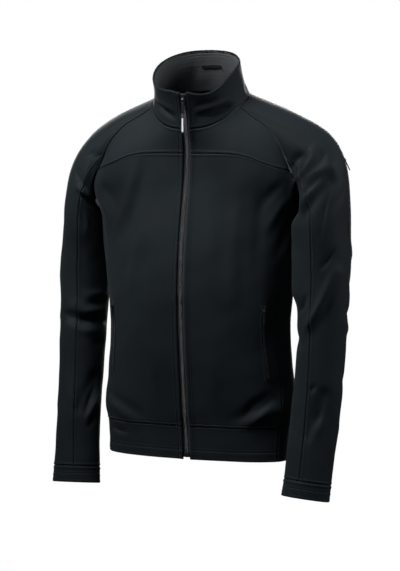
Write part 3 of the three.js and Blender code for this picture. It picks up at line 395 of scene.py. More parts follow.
def front(across, up):
    """Left front, from the zip (0) to the side (1), from the hem (0) to the underarm (1) and
    on to the neck (2)"""
    across, up = np.broadcast_arrays(np.asarray(across, float), np.asarray(up, float))
    z = lerp(HEM, UNDERARM, np.minimum(up, 1))
    lower = body(lerp(zip_angle(z), read(SIDE_SEAM, 1, z), across), z)
    upper = patch(
        lambda t: body(lerp(zip_angle(UNDERARM), 90, t), UNDERARM),
        lambda t: neck(lerp(ZIP_NECK_ANGLE, RAGLAN_FRONT_ANGLE, t)),
        lambda t: along(FRONT_LINE, t), lambda t: along(RAGLAN_FRONT, t),
        across, np.clip(up - 1, 0, 1))
    return np.where((up <= 1)[..., None], lower, upper)


def back(across, up):
    """Back, from the right side (-1) to the left side (1), and up as the front"""
    across, up = np.broadcast_arrays(np.asarray(across, float), np.asarray(up, float))
    side = np.abs(across)
    z = lerp(HEM, UNDERARM, np.minimum(up, 1))
    lower = body(lerp(180, read(SIDE_SEAM, 1, z), side), z)
    upper = patch(
        lambda t: body(lerp(180, 90, t), UNDERARM),
        lambda t: neck(lerp(180, RAGLAN_BACK_ANGLE, t)),
        lambda t: along(BACK_LINE, t), lambda t: along(RAGLAN_BACK, t),
        side, np.clip(up - 1, 0, 1))
    points = np.where((up <= 1)[..., None], lower, upper)
    points[..., 0] *= np.where(across < 0, -1, 1)
    return points


def armhole(around):
    """Left armhole seam, from the underarm (0) up the front, past the neck and down the back"""
    front_part = along(RAGLAN_FRONT, around / NECK_FROM)
    back_part = along(RAGLAN_BACK, (1 - around) / (1 - NECK_TO))
    share = (around - NECK_FROM) / (NECK_TO - NECK_FROM)
    neck_part = neck(lerp(RAGLAN_FRONT_ANGLE, RAGLAN_BACK_ANGLE, share))
    points = np.where((around < NECK_FROM)[..., None], front_part, neck_part)
    return np.where((around > NECK_TO)[..., None], back_part, points)


def arm_ring(arm, turn, at):
    """Section of an arm, square to its middle line"""
    def middle(t):
        return np.stack([read(arm, column, t) for column in (1, 2, 3)], -1)
    down = unit(middle(np.minimum(at + 0.02, 2)) - middle(np.maximum(at - 0.02, 1)))
    straight = np.zeros_like(down)
    straight[..., 2] = -1
    level = lerp(down, straight, (1 - smooth((at - 1) / 0.3))[..., None])
    out = np.zeros_like(level)
    out[..., 0] = 1
    out = unit(out - level * level[..., :1])
    rear = unit(np.cross(out, level))
    angle = 2 * math.pi * turn
    return (middle(at) - out * (read(arm, 4, at) * np.cos(angle))[..., None]
            - rear * (read(arm, 5, at) * np.sin(angle))[..., None])


def sleeve(around, down, side):
    """Sleeve, drawn on the left side, from the armhole seam (0) over the shoulder to the arm
    (1) and on to the end of the cuff (2)"""
    around, down = np.broadcast_arrays(np.asarray(around, float) % 1, np.asarray(down, float))
    arm = ARM_LEFT if side > 0 else ARM_RIGHT
    turn = read(ROUND_ARM, 1, around)
    full = 1 if side > 0 else lerp(1, RIGHT_SHOULDER, np.sin(math.pi * turn) ** 2)
    leave, arrive = full * read(SHOULDER, 4, around), full * read(SHOULDER, 5, around)
    direction = unit(np.stack([read(SHOULDER, column, around) for column in (1, 2, 3)], -1))
    start, end = armhole(around), arm_ring(arm, turn, np.ones_like(around))
    near = start + direction * leave[..., None]
    far = end + np.stack([np.zeros_like(arrive), np.zeros_like(arrive), arrive], -1)
    t = np.clip(down, 0, 1)[..., None]
    shoulder = ((1 - t) ** 3 * start + 3 * (1 - t) ** 2 * t * near
                + 3 * (1 - t) * t * t * far + t**3 * end)
    return np.where((down >= 1)[..., None], arm_ring(arm, turn, np.maximum(down, 1)), shoulder)


# How the soft collar's rim stands: angle from the middle of the front, raised, moved inward
COLLAR_RIM = [
    (0, 0, 0), (8, 0, 0), (16, -3.5, 0), (29, -7.5, 0), (43, -5.5, 1), (55, 0.5, 3),
    (66, 6, 5), (80, 9, 6), (96, 8, 5), (111, 6, 2.5), (141, 5.5, 0), (183, 5, 0), (203, 6, 0),
    (220, 8, 0), (240, 10, 0), (258, 9.5, 0), (275, 6, 0), (291, 2, 0), (320, 0, 0),
    (344, 2.5, 0), (352, 0, 0), (360, 0, 0),
]


def collar(angle, up):
    """Stand collar, by the angle from the middle of the front, from the neck seam up"""
    angle, up = np.broadcast_arrays(np.asarray(angle, float), np.asarray(up, float))
    turned = np.where(angle > 180, angle - 360, angle)
    a = np.radians(turned)
    rear = -np.cos(a)
    high = np.stack([COLLAR_HALF_WIDTH * np.sin(a), COLLAR_MIDDLE + COLLAR_HALF_DEPTH * rear,
                     COLLAR_HEIGHT + COLLAR_RISE * rear], -1)
    waist = COLLAR_WAIST * np.sin(math.pi * up)
    share = np.clip(up, 0, 1) ** 1.6
    waist = waist + share * read(COLLAR_RIM, 2, angle % 360)
    inward = np.stack([-waist * np.sin(a), waist * np.cos(a),
                       share * read(COLLAR_RIM, 1, angle % 360)], -1)
    return lerp(neck(turned), high, up[..., None]) + inward


def rolled_collar(angle, up):
    """Collar's outer cloth, whose top turns inward over the lining past the share ROLL_START"""
    below = np.minimum(up, ROLL_START)
    base = collar(angle, below)
    rise = unit(base - collar(angle, below - 0.02))
    side = unit(collar(angle + 0.5, below) - collar(angle - 0.5, below))
    out = unit(np.cross(side, rise))
    turn = np.maximum(up - ROLL_START, 0) * COLLAR_LENGTH / ROLL_RADIUS
    return (base + rise * (ROLL_RADIUS * np.sin(turn))[..., None]
            - out * (ROLL_RADIUS * (1 - np.cos(turn)))[..., None])


def chest_share(across):
    """Share of the way from the underarm to the neck at which the chest seam runs"""
    low, high = np.zeros_like(across), np.ones_like(across)
    for _ in range(24):
        middle = (low + high) / 2
        points = front(across, 1 + middle)
        below = points[..., 2] < read(CHEST_SEAM, 1, np.abs(points[..., 0]))
        low, high = np.where(below, middle, low), np.where(below, high, middle)
    return (low + high) / 2


def front_by_seam(across, up):
    """The front, where up from 1 to 2 is the stretch from the underarm to the chest seam, and
    from 2 to 3 the yoke"""
    seam = chest_share(across)
    place = np.where(up <= 2, 1 + seam * (up - 1), 1 + lerp(seam, 1, up - 2))
    return front(across, np.where(up <= 1, up, place))


# Folds

def gap_to_line(points, line):
    """Distance of each point to a broken line, and the share of its length that it is at"""
    line = np.array(line, float)
    lengths = np.linalg.norm(np.diff(line, axis=0), axis=1)
    starts = np.concatenate([[0], np.cumsum(lengths)])
    best, place = None, None
    for i, (a, b) in enumerate(zip(line[:-1], line[1:])):
        share = np.clip(((points - a) @ (b - a)) / lengths[i] ** 2, 0, 1)
        gap = np.linalg.norm(points - a - share[..., None] * (b - a), axis=-1)
        at = (starts[i] + share * lengths[i]) / starts[-1]
        if best is None:
            best, place = gap, at
        else:
            place = np.where(gap < best, at, place)
            best = np.minimum(gap, best)
    return best, place


# Where both sides have a crease, the right one is lower down and a little weaker
RIGHT_SHIFT, RIGHT_STRENGTH = 6, 0.8


def fold_height(points, part):
    """Height of the folds and creases over the surface, in millimetres"""
    height = np.zeros(points.shape[:-1])
    mirrored = points * np.array([-1, 1, 1])
    for side, only, start, end, reach, out in FOLDS:
        if only and only != part:
            continue
        for sign in ((1, -1) if side == 0 else (side,)):
            here = points if sign > 0 else mirrored
            gap, _ = gap_to_line(here, [start, end])
            height += np.where(here[..., 0] >= 0, out * np.exp(-((gap / reach) ** 2)), 0)
    for side, line, reach, out in CREASES:
        for sign in ((1, -1) if side == 0 else (side,)):
            shift = 0 if sign > 0 or side else RIGHT_SHIFT
            here = points if sign > 0 else mirrored
            moved = [(x, y, z - shift) for x, y, z in line]
            gap, place = gap_to_line(here, moved)
            strength = chosen().creases * (1 if shift == 0 else RIGHT_STRENGTH)
            strength = strength * (0.25 + 0.75 * np.sin(math.pi * place))
            height += np.where(here[..., 0] >= 0,
                               out * strength * np.exp(-((gap / reach) ** 2)), 0)
    return height


WAVES = [
    (0.060, (0.9, 0.3, 0.4), 0.3, 0.30), (0.085, (-0.4, 0.5, 0.8), 1.7, 0.22),
    (0.110, (0.6, -0.6, 0.5), 2.9, 0.18), (0.170, (0.2, 0.7, -0.7), 0.8, 0.10),
    (0.240, (-0.7, 0.2, 0.6), 4.1, 0.06),
]


def undulation(points):
    """Slight unevenness of cloth that hangs"""
    height = np.zeros(points.shape[:-1])
    for pace, direction, start, size in WAVES:
        bend = 0.6 * np.sin(0.021 * points[..., 2] + 0.017 * points[..., 0] + start)
        height += size * np.sin(pace * (points @ np.array(direction)) + start + bend)
    return height


# Edges of the panels: how deep the edge sinks into the seam, how high the cloth rolls beside
# it, thickness and width of the allowance underneath, and distances of the sewn rows from it
EDGES = {
    "open": (0.0, 0.0, 0.0, 0.0, ()),
    "plain": (1.0, 0.45, 0.20, 5.0, ()),
    "sunk": (0.9, 0.25, 0.0, 0.0, ()),
    "sewn": (1.0, 0.50, 0.40, 6.0, (2.2,)),
    "band": (1.0, 0.50, 0.45, 8.0, (1.8, 7.0)),
    "zip": (0.3, 0.30, 1.00, 10.5, (8.6,)),
    "collar_zip": (0.3, 0.30, 0.90, 9.0, (7.4,)),
    "hem": (0.6, 0.25, 0.90, 21.5, (20.0,)),
    "rim": (0.7, 0.55, 0.45, 7.5, (5.4,)),
    "rolled": (0.1, 0.0, 0.35, 12.8, (11.6,)),
    "cuff": (0.6, 0.35, 0.50, 20.0, (19.0,)),
}
FREE_EDGES = ("open", "hem", "rim", "rolled", "cuff")
DEEPER_ROWS = {"hem": 2.2, "zip": 1.7, "collar_zip": 1.7}
DITCH_REACH, STITCH_REACH = 1.3, 1.15 # how far the cloth dips beside a seam and a sewn row
ROLL_AT, ROLL_REACH = 2.9, 2.2        # distance of the roll from the seam, half its width
SEAM_GAP = 0.32                       # room between two panels at their seam
FREE_EDGE, EDGE_INSET = 1.0, 0.42     # radius of a rounded free edge, share that each face gives
# Distance between rows or columns beside an edge and away from it, reach of the fine ones from
# the edge, and stretch over which the distance grows
FINE, COARSE, FINE_ZONE, GROWS_OVER = 0.85, 3.8, 9.5, 10
# Share of the way that each round eases a bend, and distance from a side seam where it is whole
EASE_STEP, EASE_MARGIN = 0.6, 32

CLOTHS = {}                  # grid of points and normals of each finished panel, by its name

# Rough lengths of the panels in millimetres, over which their rows and columns are spread
FRONT_WIDTH, YOKE_WIDTH, BACK_WIDTH, BACK_BAND_WIDTH = 205, 190, 520, 560
BAND_RISE, BODY_RISE, CHEST_RISE, YOKE_RISE, UPPER_BACK_RISE = 67, 456, 84, 60, 212
OUTER_SLEEVE_WIDTH, INNER_SLEEVE_WIDTH, CUFF_ROUND = 210, 170, 255
SHOULDER_FALL, ARM_FALL, CUFF_FALL = 150, 492, 46
COLLAR_ROUND, COLLAR_RISE_OUTER, LINING_ROUND, LINING_RISE = 590, 84, 540, 75
# Shares of the collar's height: gap at the neck seam, and where the lining starts and ends
COLLAR_SEAM, LINING_FROM, LINING_TO = 0.008, -0.01, 0.97
LINING_LIFT, LINING_THICKNESS, LINING_ROOM = -2 - 3 * SEAM_GAP, 1.4, 1.5
LOOP_HALF_ANGLE, LOOP_FROM, LOOP_TO, LOOP_THICKNESS, LOOP_GAP = 14, 0.56, 0.65, 0.9, 0.6
LOOP_LENGTH, LOOP_WIDTH = 44, 9


def places(length, low=FINE_ZONE, high=FINE_ZONE, coarse=COARSE):
    """Shares of a length, closer together within a distance of its low and high ends"""
    marks = [0.0]
    while marks[-1] < length:
        at = marks[-1]
        gap = min(at - low, length - at - high)
        marks.append(at + lerp(FINE, coarse, float(smooth(gap / GROWS_OVER))))
    return np.array(marks) / marks[-1]


def edge_height(kind, gap):
    """Height of a panel's surface beside one edge, in millimetres"""
    dip, roll, allowance, width, rows = EDGES[kind]
    height = -dip * np.exp(-((gap / DITCH_REACH) ** 2))
    height += roll * np.exp(-(((gap - ROLL_AT) / ROLL_REACH) ** 2))
    if allowance:
        height += allowance * smooth(gap / 1.6) * (1 - smooth((gap - width) / 2.2))
    sink = chosen().stitch_sink / MM * DEEPER_ROWS.get(kind, 1)
    for row in rows:
        height -= sink * np.exp(-(((gap - row) / STITCH_REACH) ** 2))
    return height


def grid_normals(points, flip):
    """Directions out of a grid of points"""
    across = np.gradient(points, axis=1)
    up = np.gradient(points, axis=0)
    normals = unit(np.cross(across, up))
    return -normals if flip else normals


def gaps_to_edges(points):
    """Distances of a grid's points to its low row, high row, left and right columns"""
    def running(axis):
        steps = np.linalg.norm(np.diff(points, axis=axis), axis=-1)
        start = np.zeros_like(np.take(steps, [0], axis=axis))
        return np.concatenate([start, np.cumsum(steps, axis=axis)], axis=axis)
    up, across = running(0), running(1)
    return {"low": up, "high": up[-1:] - up, "left": across, "right": across[:, -1:] - across}


def pucker(points, kind):
    """Small gathers along a sewn edge"""
    if not EDGES[kind][4]:
        return 1.0
    x, y, z = points[..., 0], points[..., 1], points[..., 2]
    return 1 + 0.28 * np.sin(0.52 * (x + y) + 0.47 * z + 2 * np.sin(0.05 * z + 0.04 * x))


def eased(points, surface, rounds=60):
    """Grid of the body with the bends between its rows rounded, except beside its side seams"""
    soft = points.copy()
    for _ in range(rounds):
        before, after = soft[1:-1] - soft[:-2], soft[2:] - soft[1:-1]
        first = np.linalg.norm(before, axis=-1)
        share = first / (first + np.linalg.norm(after, axis=-1) + 1e-9)
        target = soft[:-2] + (soft[2:] - soft[:-2]) * share[..., None]
        soft[1:-1] += EASE_STEP * (target - soft[1:-1])
    gaps = gaps_to_edges(points)
    near = gaps["right"] if surface is front_by_seam else np.minimum(gaps["left"], gaps["right"])
    return lerp(points, soft, smooth(near / EASE_MARGIN)[..., None])


def cloth_grid(surface, acrosses, ups, edges, side=1, part="", flip=False, lift=0.0):
    """Points and normals of a panel with its folds, seams and uneven hang"""
    across, up = np.meshgrid(acrosses, ups)
    points = surface(across, up)
    if surface in (front_by_seam, back):
        points = eased(points, surface)
    points = points * np.array([side, 1, 1])
    normals = grid_normals(points, flip)
    height = fold_height(points, part) + undulation(points)
    points = points + normals * height[..., None]
    normals = grid_normals(points, flip)
    gaps = gaps_to_edges(points)
    profile = np.zeros(points.shape[:-1])
    for where, kind in edges.items():
        profile += edge_height(kind, gaps[where]) * pucker(points, kind)
    drawn = points.copy()
    for axis, at, near in ((0, 0, 1), (0, -1, -2), (1, 0, 1), (1, -1, -2)):
        edge, inside = np.take(points, at, axis=axis), np.take(points, near, axis=axis)
        moved = edge + unit(inside - edge) * SEAM_GAP / 2
        index = (at, slice(None)) if axis == 0 else (slice(None), at)
        drawn[index] += moved - edge
    return drawn + normals * (profile + lift)[..., None], normals


def round_free_edges(points, normals, edges, gaps, thickness):
    """Outer and inner faces of a sheet, which draw together at its free edges"""
    inset = np.zeros(points.shape[:-1])
    for where, kind in edges.items():
        if kind in FREE_EDGES:
            share = np.clip(1 - gaps[where] / FREE_EDGE, 0, 1)
            inset = np.maximum(inset, (1 - np.sqrt(1 - share**2)) * thickness * EDGE_INSET)
    outer = points - normals * inset[..., None]
    inner = points - normals * (thickness - inset)[..., None]
    return outer, inner


def make_shell(name, outer, inner, flip, flat):
    """Closed thin shell between two grids of points, in millimetres. The outer face and the rim
    take the first material, the inner face the second."""
    high, wide = outer.shape[:2]
    bm = bmesh.new()
    layer = bm.loops.layers.uv.new("UVMap")
    bmesh.ops.create_grid(bm, x_segments=wide - 1, y_segments=high - 1, size=0.5, calc_uvs=True)
    bm.faces.ensure_lookup_table()
    outer_faces = bm.faces[:]
    bmesh.ops.create_grid(bm, x_segments=wide - 1, y_segments=high - 1, size=0.5, calc_uvs=True)
    bm.verts.ensure_lookup_table()
    count = high * wide
    for vert, place in zip(bm.verts, np.concatenate([outer.reshape(-1, 3), inner.reshape(-1, 3)])):
        vert.co = place * MM
    inner_faces = list(set(bm.faces) - set(outer_faces))
    for face in inner_faces:
        face.material_index = 1
    bmesh.ops.reverse_faces(bm, faces=outer_faces if flip else inner_faces)
    verts = bm.verts[:]
    rim = (list(range(wide)) + [j * wide + wide - 1 for j in range(1, high)]
           + [(high - 1) * wide + i for i in range(wide - 2, -1, -1)]
           + [j * wide for j in range(high - 2, 0, -1)])
    for a, b in zip(rim, rim[1:] + rim[:1]):
        corners = [verts[b], verts[a], verts[a + count], verts[b + count]]
        face = bm.faces.new(corners[::-1] if flip else corners)
        face.material_index = 0
    for face in bm.faces:
        face.smooth = True
        for loop in face.loops:
            loop[layer].uv = (loop[layer].uv[0] * flat[0], loop[layer].uv[1] * flat[1])
    return finish_mesh(name, bm)


def finish_mesh(name, bm):
    """Object made from a bmesh, in the scene"""
    mesh = bpy.data.meshes.new(name)
    bm.to_mesh(mesh)
    bm.free()
    made = bpy.data.objects.new(name, mesh)
    bpy.context.scene.collection.objects.link(made)
    return made


def flat_size(points):
    """Width, length and area of a panel laid flat, in metres"""
    across = np.linalg.norm(np.diff(points, axis=1), axis=-1).sum(axis=1)
    up = np.linalg.norm(np.diff(points, axis=0), axis=-1).sum(axis=0)
    one = np.cross(points[1:, :-1] - points[:-1, :-1], points[:-1, 1:] - points[:-1, :-1])
    two = np.cross(points[:-1, 1:] - points[1:, 1:], points[1:, :-1] - points[1:, 1:])
    area = (np.linalg.norm(one, axis=-1) + np.linalg.norm(two, axis=-1)).sum() / 2
    width, length = float(across.max()) * MM, float(up.max()) * MM
    return width, length, min(float(area) * MM * MM, width * length)


def dress(made, materials, nodes=(), rides="root"):
    """Gives a piece its materials and body, and hides the solids that it stands for"""
    for material in materials:
        made.data.materials.append(material)
    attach(made, rides)
    if nodes:
        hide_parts(*nodes)
    return made


def panel(name, node, surface, acrosses, ups, edges, side=1, part="", flip=False, lift=0.0,
          thickness=None, materials=("FaceCloth", "Inner")):
    """One cut piece of cloth on its solid"""
    thickness = thickness or chosen().thickness / MM
    points, normals = cloth_grid(surface, acrosses, ups, edges, side, part, flip, lift)
    gaps = gaps_to_edges(points)
    outer, inner = round_free_edges(points, normals, edges, gaps, thickness)
    width, length, area = flat_size(points)
    made = make_shell(name, outer, inner, flip, (width, length))
    dress(made, [MATERIALS[m]() for m in materials], [node])
    CLOTHS[name] = {"points": outer, "normals": normals, "edges": edges, "gaps": gaps}
    return made


def node_group(material):
    """Empty node tree of a material, with its shader"""
    tree = material.node_tree
    tree.nodes.clear()
    out = tree.nodes.new("ShaderNodeOutputMaterial")
    shader = tree.nodes.new("ShaderNodeBsdfPrincipled")
    tree.links.new(shader.outputs["BSDF"], out.inputs["Surface"])
    return tree, shader


def noise(tree, vector, scale, detail=2.0, roughness=0.5):
    """Soft unevenness from 0 to 1"""
    node = tree.nodes.new("ShaderNodeTexNoise")
    node.inputs["Scale"].default_value = scale
    node.inputs["Detail"].default_value = detail
    node.inputs["Roughness"].default_value = roughness
    tree.links.new(vector, node.inputs["Vector"])
    return node.outputs["Fac"]


def ramp(tree, value, low, high, start=0.3, end=0.7):
    """Values from start to end, spread from low to high"""
    node = tree.nodes.new("ShaderNodeMapRange")
    node.inputs["From Min"].default_value = start
    node.inputs["From Max"].default_value = end
    node.inputs["To Min"].default_value = low
    node.inputs["To Max"].default_value = high
    tree.links.new(value, node.inputs["Value"])
    return node.outputs["Result"]


def math_node(tree, kind, a, b):
    """Two values or sockets, added or multiplied"""
    node = tree.nodes.new("ShaderNodeMath")
    node.operation = kind
    for socket, value in zip(node.inputs, (a, b)):
        if isinstance(value, (int, float)):
            socket.default_value = value
        else:
            tree.links.new(value, socket)
    return node.outputs["Value"]


def mixed_colour(tree, factor, low, high):
    """Colour between two, by a factor"""
    node = tree.nodes.new("ShaderNodeMix")
    node.data_type = "RGBA"
    node.inputs["A"].default_value = (*low, 1)
    node.inputs["B"].default_value = (*high, 1)
    tree.links.new(factor, node.inputs["Factor"])
    return node.outputs["Result"]


def bump(tree, height, strength, distance, normal=None):
    """Normal bent by a height, on top of another normal if given"""
    node = tree.nodes.new("ShaderNodeBump")
    node.inputs["Strength"].default_value = strength
    node.inputs["Distance"].default_value = distance
    tree.links.new(height, node.inputs["Height"])
    if normal is not None:
        tree.links.new(normal, node.inputs["Normal"])
    return node.outputs["Normal"]


def weave(tree, uv, threads):
    """Height of a plain weave with so many threads to a metre"""
    parts = []
    for axis, phase in (("X", 0.0), ("Y", math.pi / 2)):
        wave = tree.nodes.new("ShaderNodeTexWave")
        wave.bands_direction = axis
        wave.inputs["Scale"].default_value = threads / 20
        wave.inputs["Distortion"].default_value = 0.6
        wave.inputs["Detail"].default_value = 1.0
        wave.inputs["Detail Scale"].default_value = 2.0
        wave.inputs["Phase Offset"].default_value = phase
        tree.links.new(uv, wave.inputs["Vector"])
        parts.append(wave.outputs["Fac"])
    return math_node(tree, "MULTIPLY", *parts)


def cloth_material(name, colour, deep, rough, threads, sheen, weave_depth, mottle=0.5):
    """Cloth of one colour, whose darker threads have the share "deep" of it"""
    material = bpy.data.materials.new(name)
    material.use_nodes = True
    tree, shader = node_group(material)
    place = tree.nodes.new("ShaderNodeTexCoord")
    woven = weave(tree, place.outputs["UV"], threads)
    fine = noise(tree, place.outputs["Object"], 900, 3, 0.6)
    broad = noise(tree, place.outputs["Object"], 9, 4, 0.55)
    blend = math_node(tree, "ADD", math_node(tree, "MULTIPLY", fine, 1 - mottle),
                      math_node(tree, "MULTIPLY", broad, mottle))
    mixed = mixed_colour(tree, ramp(tree, blend, 0, 1, 0.36, 0.64),
                         tuple(c * deep for c in colour), colour)
    tree.links.new(mixed, shader.inputs["Base Color"])
    tree.links.new(ramp(tree, broad, rough - 0.07, rough + 0.07), shader.inputs["Roughness"])
    shader.inputs["Sheen Weight"].default_value = sheen
    shader.inputs["Sheen Roughness"].default_value = 0.45
    shader.inputs["Specular IOR Level"].default_value = 0.08
    first = bump(tree, woven, 0.55, weave_depth)
    tree.links.new(bump(tree, fine, 0.25, weave_depth, first), shader.inputs["Normal"])
    return material


def metal_material(name, colour, rough):
    """Blackened metal, paler where it is worn"""
    material = bpy.data.materials.new(name)
    material.use_nodes = True
    tree, shader = node_group(material)
    place = tree.nodes.new("ShaderNodeTexCoord")
    grain = noise(tree, place.outputs["Object"], 600, 4, 0.6)
    patches = noise(tree, place.outputs["Object"], 120, 2)
    worn = mixed_colour(tree, ramp(tree, patches, 0, 1, 0.45, 0.75), colour,
                        tuple(min(1, c * 1.7) for c in colour))
    tree.links.new(worn, shader.inputs["Base Color"])
    shader.inputs["Metallic"].default_value = 0.85
    tree.links.new(ramp(tree, grain, rough - 0.08, rough + 0.1), shader.inputs["Roughness"])
    tree.links.new(bump(tree, grain, 0.2, 0.0001), shader.inputs["Normal"])
    return material


def plastic_material(name, colour, rough, depth=0.0001, deep=0.85, glow=0.0):
    """Moulded plastic or rubber with a fine grain"""
    material = bpy.data.materials.new(name)
    material.use_nodes = True
    tree, shader = node_group(material)
    place = tree.nodes.new("ShaderNodeTexCoord")
    grain = noise(tree, place.outputs["Object"], 1400, 3, 0.6)
    patches = noise(tree, place.outputs["Object"], 60, 3)
    tone = mixed_colour(tree, ramp(tree, patches, 0, 1), tuple(c * deep for c in colour), colour)
    tree.links.new(tone, shader.inputs["Base Color"])
    tree.links.new(ramp(tree, grain, rough - 0.06, rough + 0.1), shader.inputs["Roughness"])
    tree.links.new(bump(tree, grain, 0.3, depth), shader.inputs["Normal"])
    if glow:
        shader.inputs["Emission Color"].default_value = (1, 1, 1, 1)
        shader.inputs["Emission Strength"].default_value = glow
    return material


def once(name, make):
    """Maker of a material that is made the first time that it is asked for"""
    return lambda: bpy.data.materials.get(name) or make(name)


MATERIALS = {
    "FaceCloth": once("FaceCloth", lambda n: cloth_material(
        n, chosen().outer, 0.64, 0.66, 1500, 0.03, 0.00012)),
    "Inner": once("Inner", lambda n: cloth_material(
        n, chosen().lining, 0.57, 0.85, 900, 0.06, 0.0003, 0.35)),
    "Tape": once("Tape", lambda n: cloth_material(
        n, chosen().tape, 0.68, 0.6, 1100, 0.05, 0.0002)),
    "DarkTape": once("DarkTape", lambda n: cloth_material(
        n, (0.018, 0.020, 0.022), 0.55, 0.6, 1100, 0.1, 0.0002)),
    "Thread": once("Thread", lambda n: cloth_material(
        n, chosen().thread, 0.47, 0.5, 3000, 0.1, 0.00005)),
    "Teeth": once("Teeth", lambda n: plastic_material(n, (0.034, 0.037, 0.040), 0.38)),
    "DarkTeeth": once("DarkTeeth", lambda n: plastic_material(n, (0.020, 0.022, 0.024), 0.35)),
    "Metal": once("Metal", lambda n: metal_material(n, chosen().metal, 0.42)),
    "Rubber": once("Rubber", lambda n: plastic_material(n, (0.022, 0.024, 0.026), 0.55)),
    "Strip": once("Strip", lambda n: plastic_material(n, chosen().strip, 0.5, 0.0002)),
    "Floor": once("Floor", lambda n: plastic_material(
        n, (0.94, 0.94, 0.94), 0.9, 0.0001, 0.98, glow=0.76)),
}


SIDES = (("left", 1), ("right", -1))


def armhole_marks():
    """Places round the armhole where the sleeve's two seams start"""
    side = float(chest_share(np.array([1.0]))[0])
    return lerp(side, 1, 1 / 6) * NECK_FROM, lerp(NECK_TO, 1, 0.7)


def two_stretches(first, second, low, middle, high, fine=FINE_ZONE, coarse=COARSE):
    """Places from low over middle to high, for two stretches of these lengths"""
    shares = places(first + second, fine, fine, coarse) * (first + second)
    return np.where(shares <= first, lerp(low, middle, shares / first),
                    lerp(middle, high, (shares - first) / second))


def build_fronts():
    """Lower fronts, yokes and the front parts of the hem band"""
    for name, sign in SIDES:
        flip = sign < 0
        across = places(FRONT_WIDTH, 13, 7)
        panel(f"cloth_front_{name}", f"front_{name}", front_by_seam, across,
              two_stretches(BODY_RISE, CHEST_RISE, BAND_SHARE, 1, 2),
              {"low": "band", "high": "plain", "left": "zip", "right": "plain"}, sign, flip=flip)
        panel(f"cloth_yoke_{name}", f"yoke_{name}", front_by_seam, places(YOKE_WIDTH, 13, 7, 2.8),
              2 + places(YOKE_RISE, 7, 6, 2.4),
              {"low": "sewn", "high": "plain", "left": "zip", "right": "sewn"}, sign, flip=flip)
        panel(f"cloth_hem_front_{name}", f"hem_front_{name}", front_by_seam, across,
              BAND_SHARE * places(BAND_RISE, 6, 30, 1.6),
              {"low": "hem", "high": "sunk", "left": "zip", "right": "plain"}, sign, flip=flip)


def build_back():
    """Back and the back part of the hem band"""
    panel("cloth_back", "back", back, 2 * places(BACK_WIDTH, 7, 7, 3.8) - 1,
          two_stretches(BODY_RISE, UPPER_BACK_RISE, BAND_SHARE, 1, 2, coarse=3.7),
          {"low": "band", "high": "plain", "left": "plain", "right": "plain"}, flip=True)
    panel("cloth_hem_back", "hem_back", back, 2 * places(BACK_BAND_WIDTH, 7, 7, 3.8) - 1,
          BAND_SHARE * places(BAND_RISE, 6, 30, 1.6),
          {"low": "hem", "high": "sunk", "left": "plain", "right": "plain"}, flip=True)


def build_sleeves():
    """Outer and inner panels of the raglan sleeves, and the cuffs"""
    first, second = armhole_marks()
    for name, sign in SIDES:
        def surface(around, down, sign=sign):
            return sleeve(around, down, sign)
        flip = sign > 0
        downs = two_stretches(SHOULDER_FALL, ARM_FALL, 0, 1, CUFF_START)
        panel(f"cloth_sleeve_outer_{name}", f"sleeve_outer_{name}", surface,
              lerp(first, second, places(OUTER_SLEEVE_WIDTH, 7, 7)), downs,
              {"low": "sewn", "high": "plain", "left": "sewn", "right": "sewn"},
              sign, "sleeve", flip)
        panel(f"cloth_sleeve_inner_{name}", f"sleeve_inner_{name}", surface,
              lerp(second, first + 1, places(INNER_SLEEVE_WIDTH, 7, 7)), downs,
              {"low": "plain", "high": "plain", "left": "plain", "right": "plain"},
              sign, "sleeve", flip)
        panel(f"cloth_cuff_{name}", f"cuff_{name}", surface, places(CUFF_ROUND, 6, 6, 2.2),
              lerp(CUFF_START, 2, places(CUFF_FALL, 6, 24, 1.6)),
              {"low": "sewn", "high": "cuff", "left": "plain", "right": "plain"},
              sign, "sleeve", flip)


def build_collar():
    """Outer collar with its rolled rim, its lining, and the hanger loop"""
    angles = lerp(ZIP_NECK_ANGLE, 360 - ZIP_NECK_ANGLE, places(COLLAR_ROUND, 11, 11, 2.6))
    panel("cloth_collar_outer", "collar_outer", rolled_collar, angles,
          lerp(COLLAR_SEAM, ROLL_END, places(COLLAR_RISE_OUTER, 6, 14, 2.0)),
          {"low": "plain", "high": "rolled", "left": "collar_zip", "right": "collar_zip"})
    start = math.degrees(math.asin((TAPE_HALF + 1.5) / COLLAR_HALF_WIDTH))
    angles = lerp(start, 360 - start, places(LINING_ROUND, 6, 6, 2.8))
    panel("cloth_collar_inner", "collar_inner", collar, angles,
          lerp(LINING_FROM, LINING_TO, places(LINING_RISE, 4, 9, 2.2)),
          {"low": "open", "high": "rim", "left": "plain", "right": "plain"},
          lift=LINING_LIFT, thickness=LINING_THICKNESS,
          materials=("Inner", "Inner"))
    around = places(LOOP_LENGTH, 6, 6, 1.6)
    panel("loop_band", "hanger_loop", collar,
          180 + lerp(-LOOP_HALF_ANGLE, LOOP_HALF_ANGLE, around),
          lerp(LOOP_FROM, LOOP_TO, places(LOOP_WIDTH, 3, 3, 1.0)),
          {"low": "open", "high": "open", "left": "plain", "right": "plain"},
          lift=LINING_LIFT - LINING_ROOM - LOOP_GAP, thickness=LOOP_THICKNESS,
          materials=("DarkTape", "DarkTape"))


# Sewing

THREAD_LIFT = 0.14           # height of a stitch's middle over the row's sunk cloth


